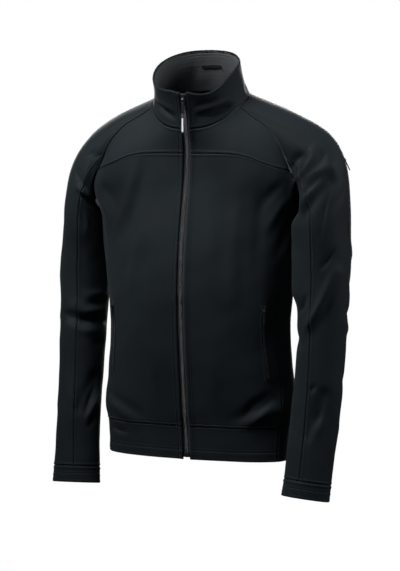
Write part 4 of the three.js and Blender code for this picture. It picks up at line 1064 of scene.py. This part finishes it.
def row_beside(cloth, where, offset):
    """Points and normals of a line at a distance from a panel's edge"""
    points, normals, gaps = cloth["points"], cloth["normals"], cloth["gaps"][where]
    if where in ("left", "right"):
        points, normals = points.transpose(1, 0, 2), normals.transpose(1, 0, 2)
        gaps = gaps.T
    if where in ("high", "right"):
        points, normals, gaps = points[::-1], normals[::-1], gaps[::-1]
    line, out = [], []
    for j in range(points.shape[1]):
        reach = gaps[:, j]
        line.append([np.interp(offset, reach, points[:, j, k]) for k in range(3)])
        out.append([np.interp(offset, reach, normals[:, j, k]) for k in range(3)])
    return np.array(line), np.array(out)


def spread_along(line, out, pitch):
    """Evenly spaced points, normals and directions along a line"""
    lengths = np.concatenate([[0], np.cumsum(np.linalg.norm(np.diff(line, axis=0), axis=1))])
    count = max(int(lengths[-1] / pitch), 1)
    at = (np.arange(count) + 0.5) * lengths[-1] / count
    where = [np.stack([np.interp(at + s, lengths, line[:, k]) for k in range(3)], -1)
             for s in (-0.4, 0, 0.4)]
    normals = unit(np.stack([np.interp(at, lengths, out[:, k]) for k in range(3)], -1))
    return where[1], normals, unit(where[2] - where[0])


def placed(point, along_line, out, size):
    """Matrix that lays a unit shape along a direction, sized in millimetres"""
    side = Vector(np.cross(out, along_line)).normalized()
    ahead, up = Vector(along_line), Vector(out)
    turn = Matrix((ahead, side, up)).transposed().to_4x4()
    return (Matrix.Translation(Vector(point) * MM) @ turn
            @ Matrix.Diagonal((*[s * MM for s in size], 1)))


def thread_places(line, out):
    """Matrices of the stitches along a line"""
    pitch, width = chosen().stitch_pitch / MM, chosen().thread_width / MM
    size = (chosen().stitch_length / MM / 2, width / 2, width / 2)
    return [placed(point + normal * THREAD_LIFT, ahead, normal, size)
            for point, normal, ahead in zip(*spread_along(line, out, pitch))]


def repeated(name, matrices, around=6, along_it=4):
    """Object with a small bead at each matrix, for stitches and zip teeth"""
    bm = bmesh.new()
    bmesh.ops.create_uvsphere(bm, u_segments=around, v_segments=along_it, radius=1.0)
    smooth_faces(bm)
    bead = bpy.data.meshes.new("bead")
    bm.to_mesh(bead)
    bm.free()
    bm = bmesh.new()
    for _ in matrices:
        bm.from_mesh(bead)
    made = finish_mesh(name, bm)
    corners = np.array([(*vert.co, 1) for vert in bead.vertices])
    places_of = np.concatenate([corners @ np.array(matrix).T for matrix in matrices])[:, :3]
    made.data.vertices.foreach_set("co", places_of.ravel())
    made.data.update()
    bpy.data.meshes.remove(bead)
    return made


def smooth_faces(bm):
    """Shades all faces smooth"""
    for face in bm.faces:
        face.smooth = True


def build_sewing():
    """Stitches along every sewn edge of the cloth but the cuff's, where no thread shows"""
    if not CLOTHS:
        raise RuntimeError("The rows are sewn on the cloth, so the cloth is built first")
    for cloth_name in sorted(CLOTHS):
        cloth = CLOTHS[cloth_name]
        lines = [(where, row) for where, kind in sorted(cloth["edges"].items())
                 for row in EDGES[kind][4] if kind != "cuff"]
        if not lines:
            continue
        stitches = [place for where, row in lines
                    for place in thread_places(*row_beside(cloth, where, row))]
        made = repeated(cloth_name.replace("cloth_", "thread_"), stitches)
        dress(made, [MATERIALS["Thread"]()])


# Zips and their fittings

RIB_HEIGHT, TAPE_THICKNESS = 0.10, 1.0
COIL_OVER_TAPE, COIL_FROM_MIDDLE, COIL_STAGGER, COIL_PITCH = 0.7, 1.35, 0.4, 1.6
COIL_TOOTH = (1.95, 0.62, 0.72)       # half length, half width, half height
SMALL_TOOTH, SMALL_PITCH = (1.35, 0.5, 0.55), 1.25
TAPE_COLUMNS = (0.25, 1.0, 2.0, 3.0, 4.2, 5.6, 7.0, 9.0, 12.0, 14.5, TAPE_HALF)


def at_distance(surface, up, x):
    """Points of a surface at a height and a distance from the middle"""
    low, high = np.full_like(up, -0.2), np.full_like(up, 0.4)
    for _ in range(30):
        middle = (low + high) / 2
        short = surface(middle, up)[..., 0] < x
        low, high = np.where(short, middle, low), np.where(short, high, middle)
    return surface(low, up)


def zip_rows(x):
    """Points of the front zip at a distance from its middle, from the hem to the collar's top"""
    front_ups = two_stretches(522, 130, 0.008, 1, 3, coarse=2.6)
    collar_ups = np.linspace(0.04, 0.97, 30)
    lower = at_distance(front_by_seam, front_ups, x)
    upper = at_distance(lambda t, up: collar(100 * t, up), collar_ups, x)
    return np.concatenate([lower, upper])


def zip_surface():
    """Points of the left half of the front zip's tape, and the directions out of its middle"""
    points = eased(np.stack([zip_rows(x) for x in TAPE_COLUMNS], axis=1), front_by_seam)
    middle = points[:, 0]
    rise = np.gradient(middle, axis=0)
    rise[:, 0] = 0
    rise = unit(rise)
    out = np.stack([np.zeros(len(rise)), -rise[:, 2], rise[:, 1]], -1)
    return points, out


def build_front_zip():
    """Both tapes of the front zip, with the teeth of its coil"""
    points, out = zip_surface()
    normals = np.repeat(out[:, None], points.shape[1], axis=1)
    ribs = RIB_HEIGHT * np.cos(np.arange(points.shape[1]) * math.pi)
    for name, sign in SIDES:
        side = points * np.array([sign, 1, 1])
        face = side + normals * (ribs[None, :, None] - TAPE_DEPTH)
        made = make_shell(f"tape_{name}", face, face - normals * TAPE_THICKNESS, sign < 0,
                          flat_size(side)[:2])
        dress(made, [MATERIALS["Tape"]()] * 2, [f"zip_tape_{name}"])
    line = points[:, 0] * np.array([0, 1, 1]) + out * (COIL_OVER_TAPE - TAPE_DEPTH)
    for name, sign in SIDES:
        across = np.array([sign, 0, 0])
        teeth = [placed(point + across * COIL_FROM_MIDDLE + ahead * (COIL_STAGGER * sign), across,
                        normal, COIL_TOOTH)
                 for point, normal, ahead in zip(*spread_along(line, out, COIL_PITCH))]
        made = repeated(f"zip_teeth_{name}", teeth, 8, 5)
        dress(made, [MATERIALS["Teeth"]()])


# Fittings

# Width, height, thickness, width of the bridge, radius under it, thickness of its arch
LARGE_SLIDER, SMALL_SLIDER = (10.5, 17, 2.8, 3.6, 1.7, 1.3), (7, 10, 1.8, 2.6, 1.4, 1.0)
# Place of the back of each slider, direction to its right, direction out of the cloth, or None
# where that is towards its pull, body of that pull, sizes
SLIDERS = {
    "zip_slider": ((0, -89.518, 0.0192), (1, 0, 0), (0, -0.9327, -0.3605), "main_pull",
                   LARGE_SLIDER),
    "pocket_left_slider": ((158.672, -69.304, -411.086), (0.7729, 0.6344, -0.0166), None,
                           "left_pocket_pull", SMALL_SLIDER),
    "pocket_right_slider": ((-158.672, -69.304, -411.086), (0.7729, -0.6344, 0.0166), None,
                            "right_pocket_pull", SMALL_SLIDER),
    "sleeve_pocket_slider": ((296.895, 0.581, -118.37), (0.0369, 0.9963, -0.0782), None,
                             "arm_pocket_pull", SMALL_SLIDER),
}


def frame_of(place, right, out):
    """Matrix of a frame whose x points right and whose -y points out, in metres"""
    x = Vector(right).normalized()
    y = -Vector(out)
    y = (y - x * x.dot(y)).normalized()
    z = x.cross(y)
    return Matrix.Translation(Vector(place) * MM) @ Matrix((x, y, z)).transposed().to_4x4()


def prism(bm, outline, near, far, bevel=0.3, segments=2):
    """Solid with an outline in x and z, from one depth in y to another, with softened edges"""
    front_verts = [bm.verts.new((x * MM, near * MM, z * MM)) for x, z in outline]
    face = bm.faces.new(front_verts)
    made = bmesh.ops.extrude_face_region(bm, geom=[face], use_keep_orig=True)
    moved = [v for v in made["geom"] if isinstance(v, bmesh.types.BMVert)]
    bmesh.ops.translate(bm, verts=moved, vec=(0, (far - near) * MM, 0))
    verts = front_verts + moved
    faces = list({f for v in verts for f in v.link_faces})
    bmesh.ops.recalc_face_normals(bm, faces=faces)
    if bevel:
        edges = list({e for v in verts for e in v.link_edges})
        bmesh.ops.bevel(bm, geom=edges, offset=bevel * MM, offset_type="OFFSET", affect="EDGES",
                        segments=segments, profile=0.5, material=-1, clamp_overlap=True)
    return verts


def ring(bm, outer, inner, near, far, bevel=0.25):
    """Flat ring between two outlines with as many points, in x and z"""
    rows = []
    for loop, depth in ((outer, near), (outer, far), (inner, far), (inner, near)):
        rows.append([bm.verts.new((x * MM, depth * MM, z * MM)) for x, z in loop])
    faces = []
    for i in range(len(outer)):
        j = (i + 1) % len(outer)
        for a, b in ((0, 1), (1, 2), (2, 3), (3, 0)):
            faces.append(bm.faces.new((rows[a][i], rows[a][j], rows[b][j], rows[b][i])))
    bmesh.ops.recalc_face_normals(bm, faces=faces)
    corner = [e for e in bm.edges if any(set(e.verts) <= set(row) for row in rows)]
    bmesh.ops.bevel(bm, geom=corner, offset=bevel * MM, offset_type="OFFSET", affect="EDGES",
                    segments=2, profile=0.5, material=-1, clamp_overlap=True)


def rounded(width, low, high, corner, steps=4):
    """Rounded rectangle, as points in x and z"""
    points = []
    for cx, cz, start in ((width / 2 - corner, high - corner, 0),
                          (-width / 2 + corner, high - corner, 90),
                          (-width / 2 + corner, low + corner, 180),
                          (width / 2 - corner, low + corner, 270)):
        for k in range(steps + 1):
            a = math.radians(start + 90 * k / steps)
            points.append((cx + corner * math.cos(a), cz + corner * math.sin(a)))
    return points


def slider_mesh(bm, width, height, thick, bridge, hole, rim):
    """Zip slider with its back on y = 0, facing -y"""
    outline = [(-width / 2 + 0.6, height / 2), (-width / 2, height / 2 - 0.8), (-width / 2, 0.4),
               (-width / 3, -height / 2 + 0.8), (-width / 3 + 0.8, -height / 2),
               (width / 3 - 0.8, -height / 2), (width / 3, -height / 2 + 0.8), (width / 2, 0.4),
               (width / 2, height / 2 - 0.8), (width / 2 - 0.6, height / 2)]
    prism(bm, outline, -thick, -thick * 0.45, 0.3)
    for side in (-1, 1):
        flange = [(side * (width / 2 - 1.0), height / 2 - 0.6),
                  (side * width / 2, height / 2 - 0.6), (side * width / 2, 0.6),
                  (side * (width / 3 + 0.2), -height / 2 + 1.2),
                  (side * (width / 3 - 0.8), -height / 2 + 1.2), (side * (width / 2 - 1.0), 0.4)]
        prism(bm, flange[::side], -thick * 0.6, 0, 0.2)
    axis = thick + hole + 0.4
    steps = 10
    for k in range(steps):
        a, b = (math.radians(-100 + 200 * s / steps) for s in (k, k + 1))
        points = []
        for radius, angle in ((hole, a), (hole + rim, a), (hole + rim, b), (hole, b)):
            points.append((-axis - radius * math.cos(angle), radius * math.sin(angle)))
        verts = [bm.verts.new((x * MM, y * MM, z * MM)) for x in (-bridge / 2, bridge / 2)
                 for y, z in points]
        for quad in ((0, 1, 2, 3), (7, 6, 5, 4), (0, 4, 5, 1), (1, 5, 6, 2), (2, 6, 7, 3),
                     (3, 7, 4, 0)):
            bm.faces.new([verts[i] for i in quad])
    bmesh.ops.remove_doubles(bm, verts=bm.verts[:], dist=1e-6)
    for side in (-1, 1):
        foot = [(-bridge / 2, side * (hole + rim) - (rim if side > 0 else 0)),
                (bridge / 2, side * (hole + rim) - (rim if side > 0 else 0)),
                (bridge / 2, side * (hole + rim) + (rim if side < 0 else 0)),
                (-bridge / 2, side * (hole + rim) + (rim if side < 0 else 0))]
        prism(bm, foot, -axis, -thick + 0.3, 0.15, 1)


def joints_by_body():
    """The frame's joints, by the body that each moves"""
    return {joint["child"]: joint for joint in frame["joints"]}


def build_sliders():
    """Sliders, each facing the hinge of its own pull unless its direction is given"""
    joints = joints_by_body()
    for node, (place, right, out, rider, sizes) in SLIDERS.items():
        if out is None:
            eye = Vector(joints[rider]["pos_m"]) / MM
            out = (eye - Vector(place)).normalized()
        bm = bmesh.new()
        slider_mesh(bm, *sizes)
        bmesh.ops.transform(bm, matrix=frame_of(place, right, out), verts=bm.verts[:])
        smooth_by_angle(bm)
        made = finish_mesh(node.replace("slider", "runner"), bm)
        dress(made, [MATERIALS["Metal"]()], [node])


def smooth_by_angle(bm, limit=35):
    """Shades a fitting smooth but for its sharp edges"""
    for face in bm.faces:
        face.smooth = True
    for edge in bm.edges:
        if len(edge.link_faces) == 2:
            edge.smooth = edge.calc_face_angle(0) < math.radians(limit)


# Body that the pull rides, width, thickness, length of the eye, width of the tab, length of all,
# and direction out of the cloth, or None for level
PULLS = {
    "zip_pull": ("main_pull", 8, 1.6, 6, 4.6, 27, None),
    "pocket_left_pull": ("left_pocket_pull", 6, 1.4, 5, 3.6, 24, None),
    "pocket_right_pull": ("right_pocket_pull", 6, 1.4, 5, 3.6, 24, None),
    "sleeve_pocket_pull": ("arm_pocket_pull", 6, 1.4, 5, 3.6, 24, (0.8907, -0.015, 0.4542)),
}
# Strip on the front pull: gap under the tab, length, width, half thickness; width of its pale
# inlay, where that starts and ends over the foot of the strip, and how far it stands out
STRIP_GAP, STRIP_LENGTH, STRIP_WIDTH, STRIP_HALF = 0.3, 38, 5.6, 1.2
INLAY_WIDTH, INLAY_FROM, INLAY_TO, INLAY_OUT = 3.4, 2.4, 29, 0.15


def build_pulls():
    """Pull tabs, each hanging from the hinge of its body"""
    joints = joints_by_body()
    for node, (rider, width, thick, eye, waist, length, out) in PULLS.items():
        joint = joints[rider]
        right = -Vector(joint["axis"])
        if out is None:
            out = -Vector((0, 0, 1)).cross(right)
        place = frame_of(Vector(joint["pos_m"]) / MM, right, out)
        bm = bmesh.new()
        bar = thick / 2
        ring(bm, rounded(width, -eye, bar, 1.2),
             rounded(width - 2.6, -eye + 0.9, -bar, 0.5), -bar, bar)
        tab = [(-waist / 2 - 0.5, -eye + 0.4), (-waist / 2, -eye - 1.8), (-waist / 2, -length + 1),
               (-waist / 2 + 1, -length), (waist / 2 - 1, -length), (waist / 2, -length + 1),
               (waist / 2, -eye - 1.8), (waist / 2 + 0.5, -eye + 0.4)]
        prism(bm, tab, -bar, bar, 0.3)
        ridge = rounded(waist - 1.8, -length + 1.6, -eye - 2.6, 0.8)
        prism(bm, ridge, -bar - 0.25, bar + 0.25, 0.15, 1)
        bmesh.ops.transform(bm, matrix=place, verts=bm.verts[:])
        smooth_by_angle(bm)
        made = finish_mesh(node.replace("_pull", "_tab"), bm)
        dress(made, [MATERIALS["Metal"]()], [node], rider)
        if node == "zip_pull":
            add_strip(place, -length - STRIP_GAP, rider)


def add_strip(place, top, rider):
    """Dark strip that hangs from the front pull, with a pale inlay on both faces"""
    bm = bmesh.new()
    low = top - STRIP_LENGTH
    prism(bm, rounded(STRIP_WIDTH, low, top, 1.6, 5), -STRIP_HALF, STRIP_HALF, 0.45, 3)
    dark = set(bm.faces)
    for face_at in (-1, 1):
        prism(bm, rounded(INLAY_WIDTH, low + INLAY_FROM, low + INLAY_TO, 1.0, 4), face_at * 1.0,
              face_at * (STRIP_HALF + INLAY_OUT), 0.1, 1)
    for face in bm.faces:
        face.material_index = 0 if face in dark else 1
    bmesh.ops.transform(bm, matrix=place, verts=bm.verts[:])
    smooth_by_angle(bm)
    made = finish_mesh("zip_tab_strip", bm)
    dress(made, [MATERIALS["Rubber"](), MATERIALS["Strip"]()], ["zip_pull_strip"],
          rider)


# Box, pin and bar: width, foot, head, radius of the corners, near and far face, bevel
BOX_PARTS = (
    (9, -4.5, 4.5, 1.2, -1.6, 1.4, 0.4),
    (2.2, -3.6, 7.5, 0.9, -2.1, -0.9, 0.3),
    (6.4, -3.4, -1.6, 0.5, -2.0, -1.2, 0.2),
)


def build_zip_box():
    """Box at the foot of the front zip, with its pin"""
    low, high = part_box("zip_box")
    middle = (low + high) / 2 / MM
    bm = bmesh.new()
    for width, foot, head, corner, near, far, bevel in BOX_PARTS:
        prism(bm, rounded(width, foot, head, corner), near, far, bevel)
    seam = front_by_seam(np.array([0.0, 0.0]), np.array([0.004, BAND_SHARE / 2]))
    rise = Vector(seam[1] - seam[0])
    out = Vector((0, -rise.z, rise.y)).normalized()
    bmesh.ops.transform(bm, matrix=frame_of(middle, (1, 0, 0), out), verts=bm.verts[:])
    smooth_by_angle(bm)
    made = finish_mesh("zip_foot", bm)
    dress(made, [MATERIALS["Metal"]()], ["zip_box"])


def pocket_surface(u, v):
    """Line of the hand pocket: u is millimetres across it, v runs up it"""
    z = lerp(POCKET_BOTTOM, POCKET_TOP, v)
    angle = lerp(POCKET_TOP_ANGLE, POCKET_BOTTOM_ANGLE,
                 (z - POCKET_TOP) / (POCKET_BOTTOM - POCKET_TOP))
    edge = zip_angle(z)
    span = read(SIDE_SEAM, 1, z) - edge
    across = (angle - edge) / span
    up = (z - HEM) / (UNDERARM - HEM)
    side = np.linalg.norm(front(across + 0.02, up) - front(across - 0.02, up), axis=-1) / 0.04
    return front(across + u / side, up)


def arm_pocket_surface(u, v):
    """Line of the pocket on the left sleeve: u is millimetres across it, v runs up it"""
    z = lerp(ARM_POCKET_BOTTOM, ARM_POCKET_TOP, v)
    low, high = np.zeros_like(z), np.full_like(z, 1.3)
    half = np.full_like(z, 0.5)
    for _ in range(24):
        middle = (low + high) / 2
        above = sleeve(half, middle, 1)[..., 2] > z
        low, high = np.where(above, middle, low), np.where(above, high, middle)
    side = np.linalg.norm(sleeve(half + 0.01, low, 1) - sleeve(half - 0.01, low, 1), axis=-1) / 0.02
    return sleeve(half - u / side, low, 1)


# Pocket zips: half width of the tape that shows, where the lips start and end, and where the
# rows of stitches run, from the middle; shares of the length by which they go past its ends
POCKET_TAPE_HALF, LIP_FROM, LIP_TO, LIP_PAST = 3.6, 1.7, 5.4, 0.012
LIP_COLUMNS, LIP_EDGE, LIP_RISE = 13, 0.25, 1.15      # a lip's columns, its edge's height, its rise
ROW_AT, ROW_PAST = 7.2, 0.03
POCKET_ROWS = np.linspace(0, 1, 70)


def build_pocket_zips():
    """Zips of the two hand pockets and of the pocket on the left arm"""
    for name, sign in SIDES:
        add_pocket_zip(f"pocket_{name}", f"pocket_zip_{name}", pocket_surface, sign)
    add_pocket_zip("arm_pocket", "sleeve_pocket_zip", arm_pocket_surface, 1)


def add_pocket_zip(name, node, surface, side):
    """Tape, two lips, teeth and the box of stitches of one pocket zip"""
    flip = side < 0
    part = "sleeve" if "arm" in name else ""

    def strip(near, far, count, low=0.0, high=1.0):
        """Points and normals of a strip of the cloth between two distances from the zip"""
        return cloth_grid(surface, np.linspace(near, far, count), lerp(low, high, POCKET_ROWS), {},
                          side, part, flip)

    points, normals = strip(-POCKET_TAPE_HALF, POCKET_TAPE_HALF, 9)
    face = points + normals * 0.62
    made = make_shell(f"tape_{name}", face, points + normals * 0.12, flip, flat_size(points)[:2])
    dress(made, [MATERIALS["DarkTape"]()] * 2, [node])
    for lip, near, far in (("front", -LIP_TO, -LIP_FROM), ("back", LIP_FROM, LIP_TO)):
        points, normals = strip(near, far, LIP_COLUMNS, -LIP_PAST, 1 + LIP_PAST)
        share = np.linspace(0, 1, LIP_COLUMNS)
        hump = LIP_EDGE + LIP_RISE * np.sqrt(np.clip(1 - (2 * share - 1) ** 2, 0, 1)) ** 1.2
        face = points + normals * hump[None, :, None]
        made = make_shell(f"welt_{name}_{lip}", face, points + normals * 0.08, flip,
                          flat_size(points)[:2])
        dress(made, [MATERIALS["FaceCloth"]()] * 2)
    points, normals = strip(-1, 1, 3)
    line, out = points[:, 1], normals[:, 1]
    teeth = [placed(spot + normal * 0.75, np.cross(normal, ahead), normal, SMALL_TOOTH)
             for spot, normal, ahead in zip(*spread_along(line, out, SMALL_PITCH))]
    made = repeated(f"teeth_{name}", teeth)
    dress(made, [MATERIALS["DarkTeeth"]()])
    stitches = []
    for offset in (-ROW_AT, ROW_AT):
        points, normals = strip(offset - 1, offset + 1, 3, -ROW_PAST, 1 + ROW_PAST)
        stitches += thread_places(points[:, 1], normals[:, 1])
    for end in (-ROW_PAST, 1 + ROW_PAST):
        points, normals = cloth_grid(surface, np.linspace(-ROW_AT, ROW_AT, 9),
                                     np.array([end - 0.01, end, end + 0.01]), {}, side, part, flip)
        stitches += thread_places(points[1], normals[1])
    made = repeated(f"thread_{name}", stitches)
    dress(made, [MATERIALS["Thread"]()])


# Stage, light and camera

CAMERA_AZIMUTH, CAMERA_ELEVATION, CAMERA_DISTANCE = 21.0, 5.2, 4.0
CAMERA_TARGET, LIGHT_TARGET = Vector((0, 0, -0.372)), Vector((0, 0, -0.3))
CAMERA_LENS = 126.1
FLOOR, FLOOR_RADIUS = -1.25, 1.2
# name, azimuth, elevation, distance, side, spread in degrees, power, tone
LIGHTS = (
    ("Key", -36, 52, 2.1, 1.0, 44, 6.0, (1.0, 0.99, 0.98)),
    ("Side", 100, 24, 2.6, 1.2, 70, 7.0, (0.98, 0.99, 1.0)),
    ("Top", 10, 78, 2.2, 1.2, 70, 2.4, (1.0, 1.0, 1.0)),
    ("BackLeft", 186, 16, 2.8, 1.2, 70, 15, (1.0, 1.0, 1.0)),
    ("BackRight", -146, 18, 2.8, 1.2, 70, 10, (1.0, 1.0, 1.0)),
)


def around_target(azimuth, elevation, distance):
    """Place at an azimuth, elevation and distance from the jacket's middle"""
    a, e = math.radians(azimuth), math.radians(elevation)
    return CAMERA_TARGET + distance * Vector((math.sin(a) * math.cos(e),
                                              -math.cos(a) * math.cos(e), math.sin(e)))


def aimed(obj, place, target=CAMERA_TARGET):
    """Puts a camera or light at a place, turned towards its target"""
    obj.location = place
    obj.rotation_euler = (target - place).to_track_quat("-Z", "Y").to_euler()
    bpy.context.scene.collection.objects.link(obj)
    return obj


def build_stage(settings):
    """Camera, lights, surroundings and floor"""
    scene = bpy.context.scene
    camera = bpy.data.cameras.new("Camera")
    camera.lens = CAMERA_LENS
    camera.sensor_width = 36
    camera.clip_end = 50
    scene.camera = aimed(bpy.data.objects.new("Camera", camera),
                         around_target(CAMERA_AZIMUTH, CAMERA_ELEVATION, CAMERA_DISTANCE))
    for name, azimuth, elevation, distance, size, spread, power, tone in LIGHTS:
        light = bpy.data.lights.new(name, "AREA")
        light.shape = "SQUARE"
        light.size = size
        light.energy = power * settings.light
        light.color = tone
        light.spread = math.radians(spread)
        aimed(bpy.data.objects.new(name, light), around_target(azimuth, elevation, distance),
              LIGHT_TARGET)
    world = bpy.data.worlds.new("Studio")
    world.use_nodes = True
    tree = world.node_tree
    soft_light = tree.nodes["Background"]
    soft_light.inputs["Color"].default_value = (1, 1, 1, 1)
    soft_light.inputs["Strength"].default_value = settings.surroundings
    white_paper = tree.nodes.new("ShaderNodeBackground")
    white_paper.inputs["Color"].default_value = (1, 1, 1, 1)
    white_paper.inputs["Strength"].default_value = 1.0
    mix = tree.nodes.new("ShaderNodeMixShader")
    path = tree.nodes.new("ShaderNodeLightPath")
    tree.links.new(path.outputs["Is Camera Ray"], mix.inputs["Fac"])
    tree.links.new(soft_light.outputs["Background"], mix.inputs[1])
    tree.links.new(white_paper.outputs["Background"], mix.inputs[2])
    tree.links.new(mix.outputs["Shader"], tree.nodes["World Output"].inputs["Surface"])
    scene.world = world
    bm = bmesh.new()
    bmesh.ops.create_circle(bm, cap_ends=True, segments=96, radius=FLOOR_RADIUS)
    bmesh.ops.translate(bm, verts=bm.verts[:], vec=(0, 0, FLOOR))
    floor = finish_mesh("floor", bm)
    floor.data.materials.append(MATERIALS["Floor"]())
    floor.visible_diffuse = floor.visible_glossy = False
    scene.view_settings.view_transform = "Standard"
    scene.view_settings.exposure = settings.exposure


# Add-on

class JACKET_OT_stage(bpy.types.Operator):
    """Builds the camera, the lights and the pale floor"""
    bl_idname = "jacket.stage"
    bl_label = "Stage"
    bl_options = {"REGISTER", "UNDO"}

    def execute(self, context):
        build_stage(context.scene.jacket_stage)
        return {"FINISHED"}


class JACKET_OT_fronts(bpy.types.Operator):
    """Builds the fronts, yokes and front hem bands"""
    bl_idname = "jacket.fronts"
    bl_label = "Fronts"
    bl_options = {"REGISTER", "UNDO"}

    def execute(self, context):
        build_fronts()
        return {"FINISHED"}


class JACKET_OT_back(bpy.types.Operator):
    """Builds the back and its hem band"""
    bl_idname = "jacket.back"
    bl_label = "Back"
    bl_options = {"REGISTER", "UNDO"}

    def execute(self, context):
        build_back()
        return {"FINISHED"}


class JACKET_OT_sleeves(bpy.types.Operator):
    """Builds the sleeves and cuffs"""
    bl_idname = "jacket.sleeves"
    bl_label = "Sleeves"
    bl_options = {"REGISTER", "UNDO"}

    def execute(self, context):
        build_sleeves()
        return {"FINISHED"}


class JACKET_OT_collar(bpy.types.Operator):
    """Builds the collar's two layers and the hanger loop"""
    bl_idname = "jacket.collar"
    bl_label = "Collar"
    bl_options = {"REGISTER", "UNDO"}

    def execute(self, context):
        build_collar()
        return {"FINISHED"}


class JACKET_OT_front_zip(bpy.types.Operator):
    """Builds the front zip with its box"""
    bl_idname = "jacket.front_zip"
    bl_label = "Front zip"
    bl_options = {"REGISTER", "UNDO"}

    def execute(self, context):
        build_front_zip()
        build_zip_box()
        return {"FINISHED"}


class JACKET_OT_pockets(bpy.types.Operator):
    """Builds the zips of the three pockets"""
    bl_idname = "jacket.pockets"
    bl_label = "Pocket zips"
    bl_options = {"REGISTER", "UNDO"}

    def execute(self, context):
        build_pocket_zips()
        return {"FINISHED"}


class JACKET_OT_fittings(bpy.types.Operator):
    """Builds the sliders and their pull tabs"""
    bl_idname = "jacket.fittings"
    bl_label = "Sliders and pulls"
    bl_options = {"REGISTER", "UNDO"}

    def execute(self, context):
        build_sliders()
        build_pulls()
        return {"FINISHED"}


class JACKET_OT_sewing(bpy.types.Operator):
    """Builds the sewn rows of thread"""
    bl_idname = "jacket.sewing"
    bl_label = "Sewing"
    bl_options = {"REGISTER", "UNDO"}

    def execute(self, context):
        build_sewing()
        return {"FINISHED"}


OPERATORS = (
    JACKET_OT_stage, JACKET_OT_fronts, JACKET_OT_back, JACKET_OT_sleeves, JACKET_OT_collar,
    JACKET_OT_front_zip, JACKET_OT_pockets, JACKET_OT_fittings, JACKET_OT_sewing,
)


class JACKET_PT_build(bpy.types.Panel):
    """Lists the steps that build the jacket"""
    bl_idname = "JACKET_PT_build"
    bl_label = "Softshell jacket"
    bl_space_type = "VIEW_3D"
    bl_region_type = "UI"
    bl_category = "Jacket"

    def draw(self, context):
        for step in OPERATORS:
            self.layout.operator(step.bl_idname)
        for group in (context.scene.jacket, context.scene.jacket_stage):
            for name in group.__annotations__:
                self.layout.prop(group, name)


CLASSES = (JacketCloth, JacketStage, *OPERATORS, JACKET_PT_build)


def register():
    """Adds the classes and the two groups of settings"""
    for made in CLASSES:
        bpy.utils.register_class(made)
    bpy.types.Scene.jacket = PointerProperty(type=JacketCloth)
    bpy.types.Scene.jacket_stage = PointerProperty(type=JacketStage)


def unregister():
    """Takes them out again"""
    del bpy.types.Scene.jacket_stage
    del bpy.types.Scene.jacket
    for made in reversed(CLASSES):
        bpy.utils.unregister_class(made)


def main():
    """Builds the jacket, step by step"""
    register()
    for step in OPERATORS:
        getattr(bpy.ops.jacket, step.bl_idname.split(".")[1])()


if __name__ == "__main__":
    main()
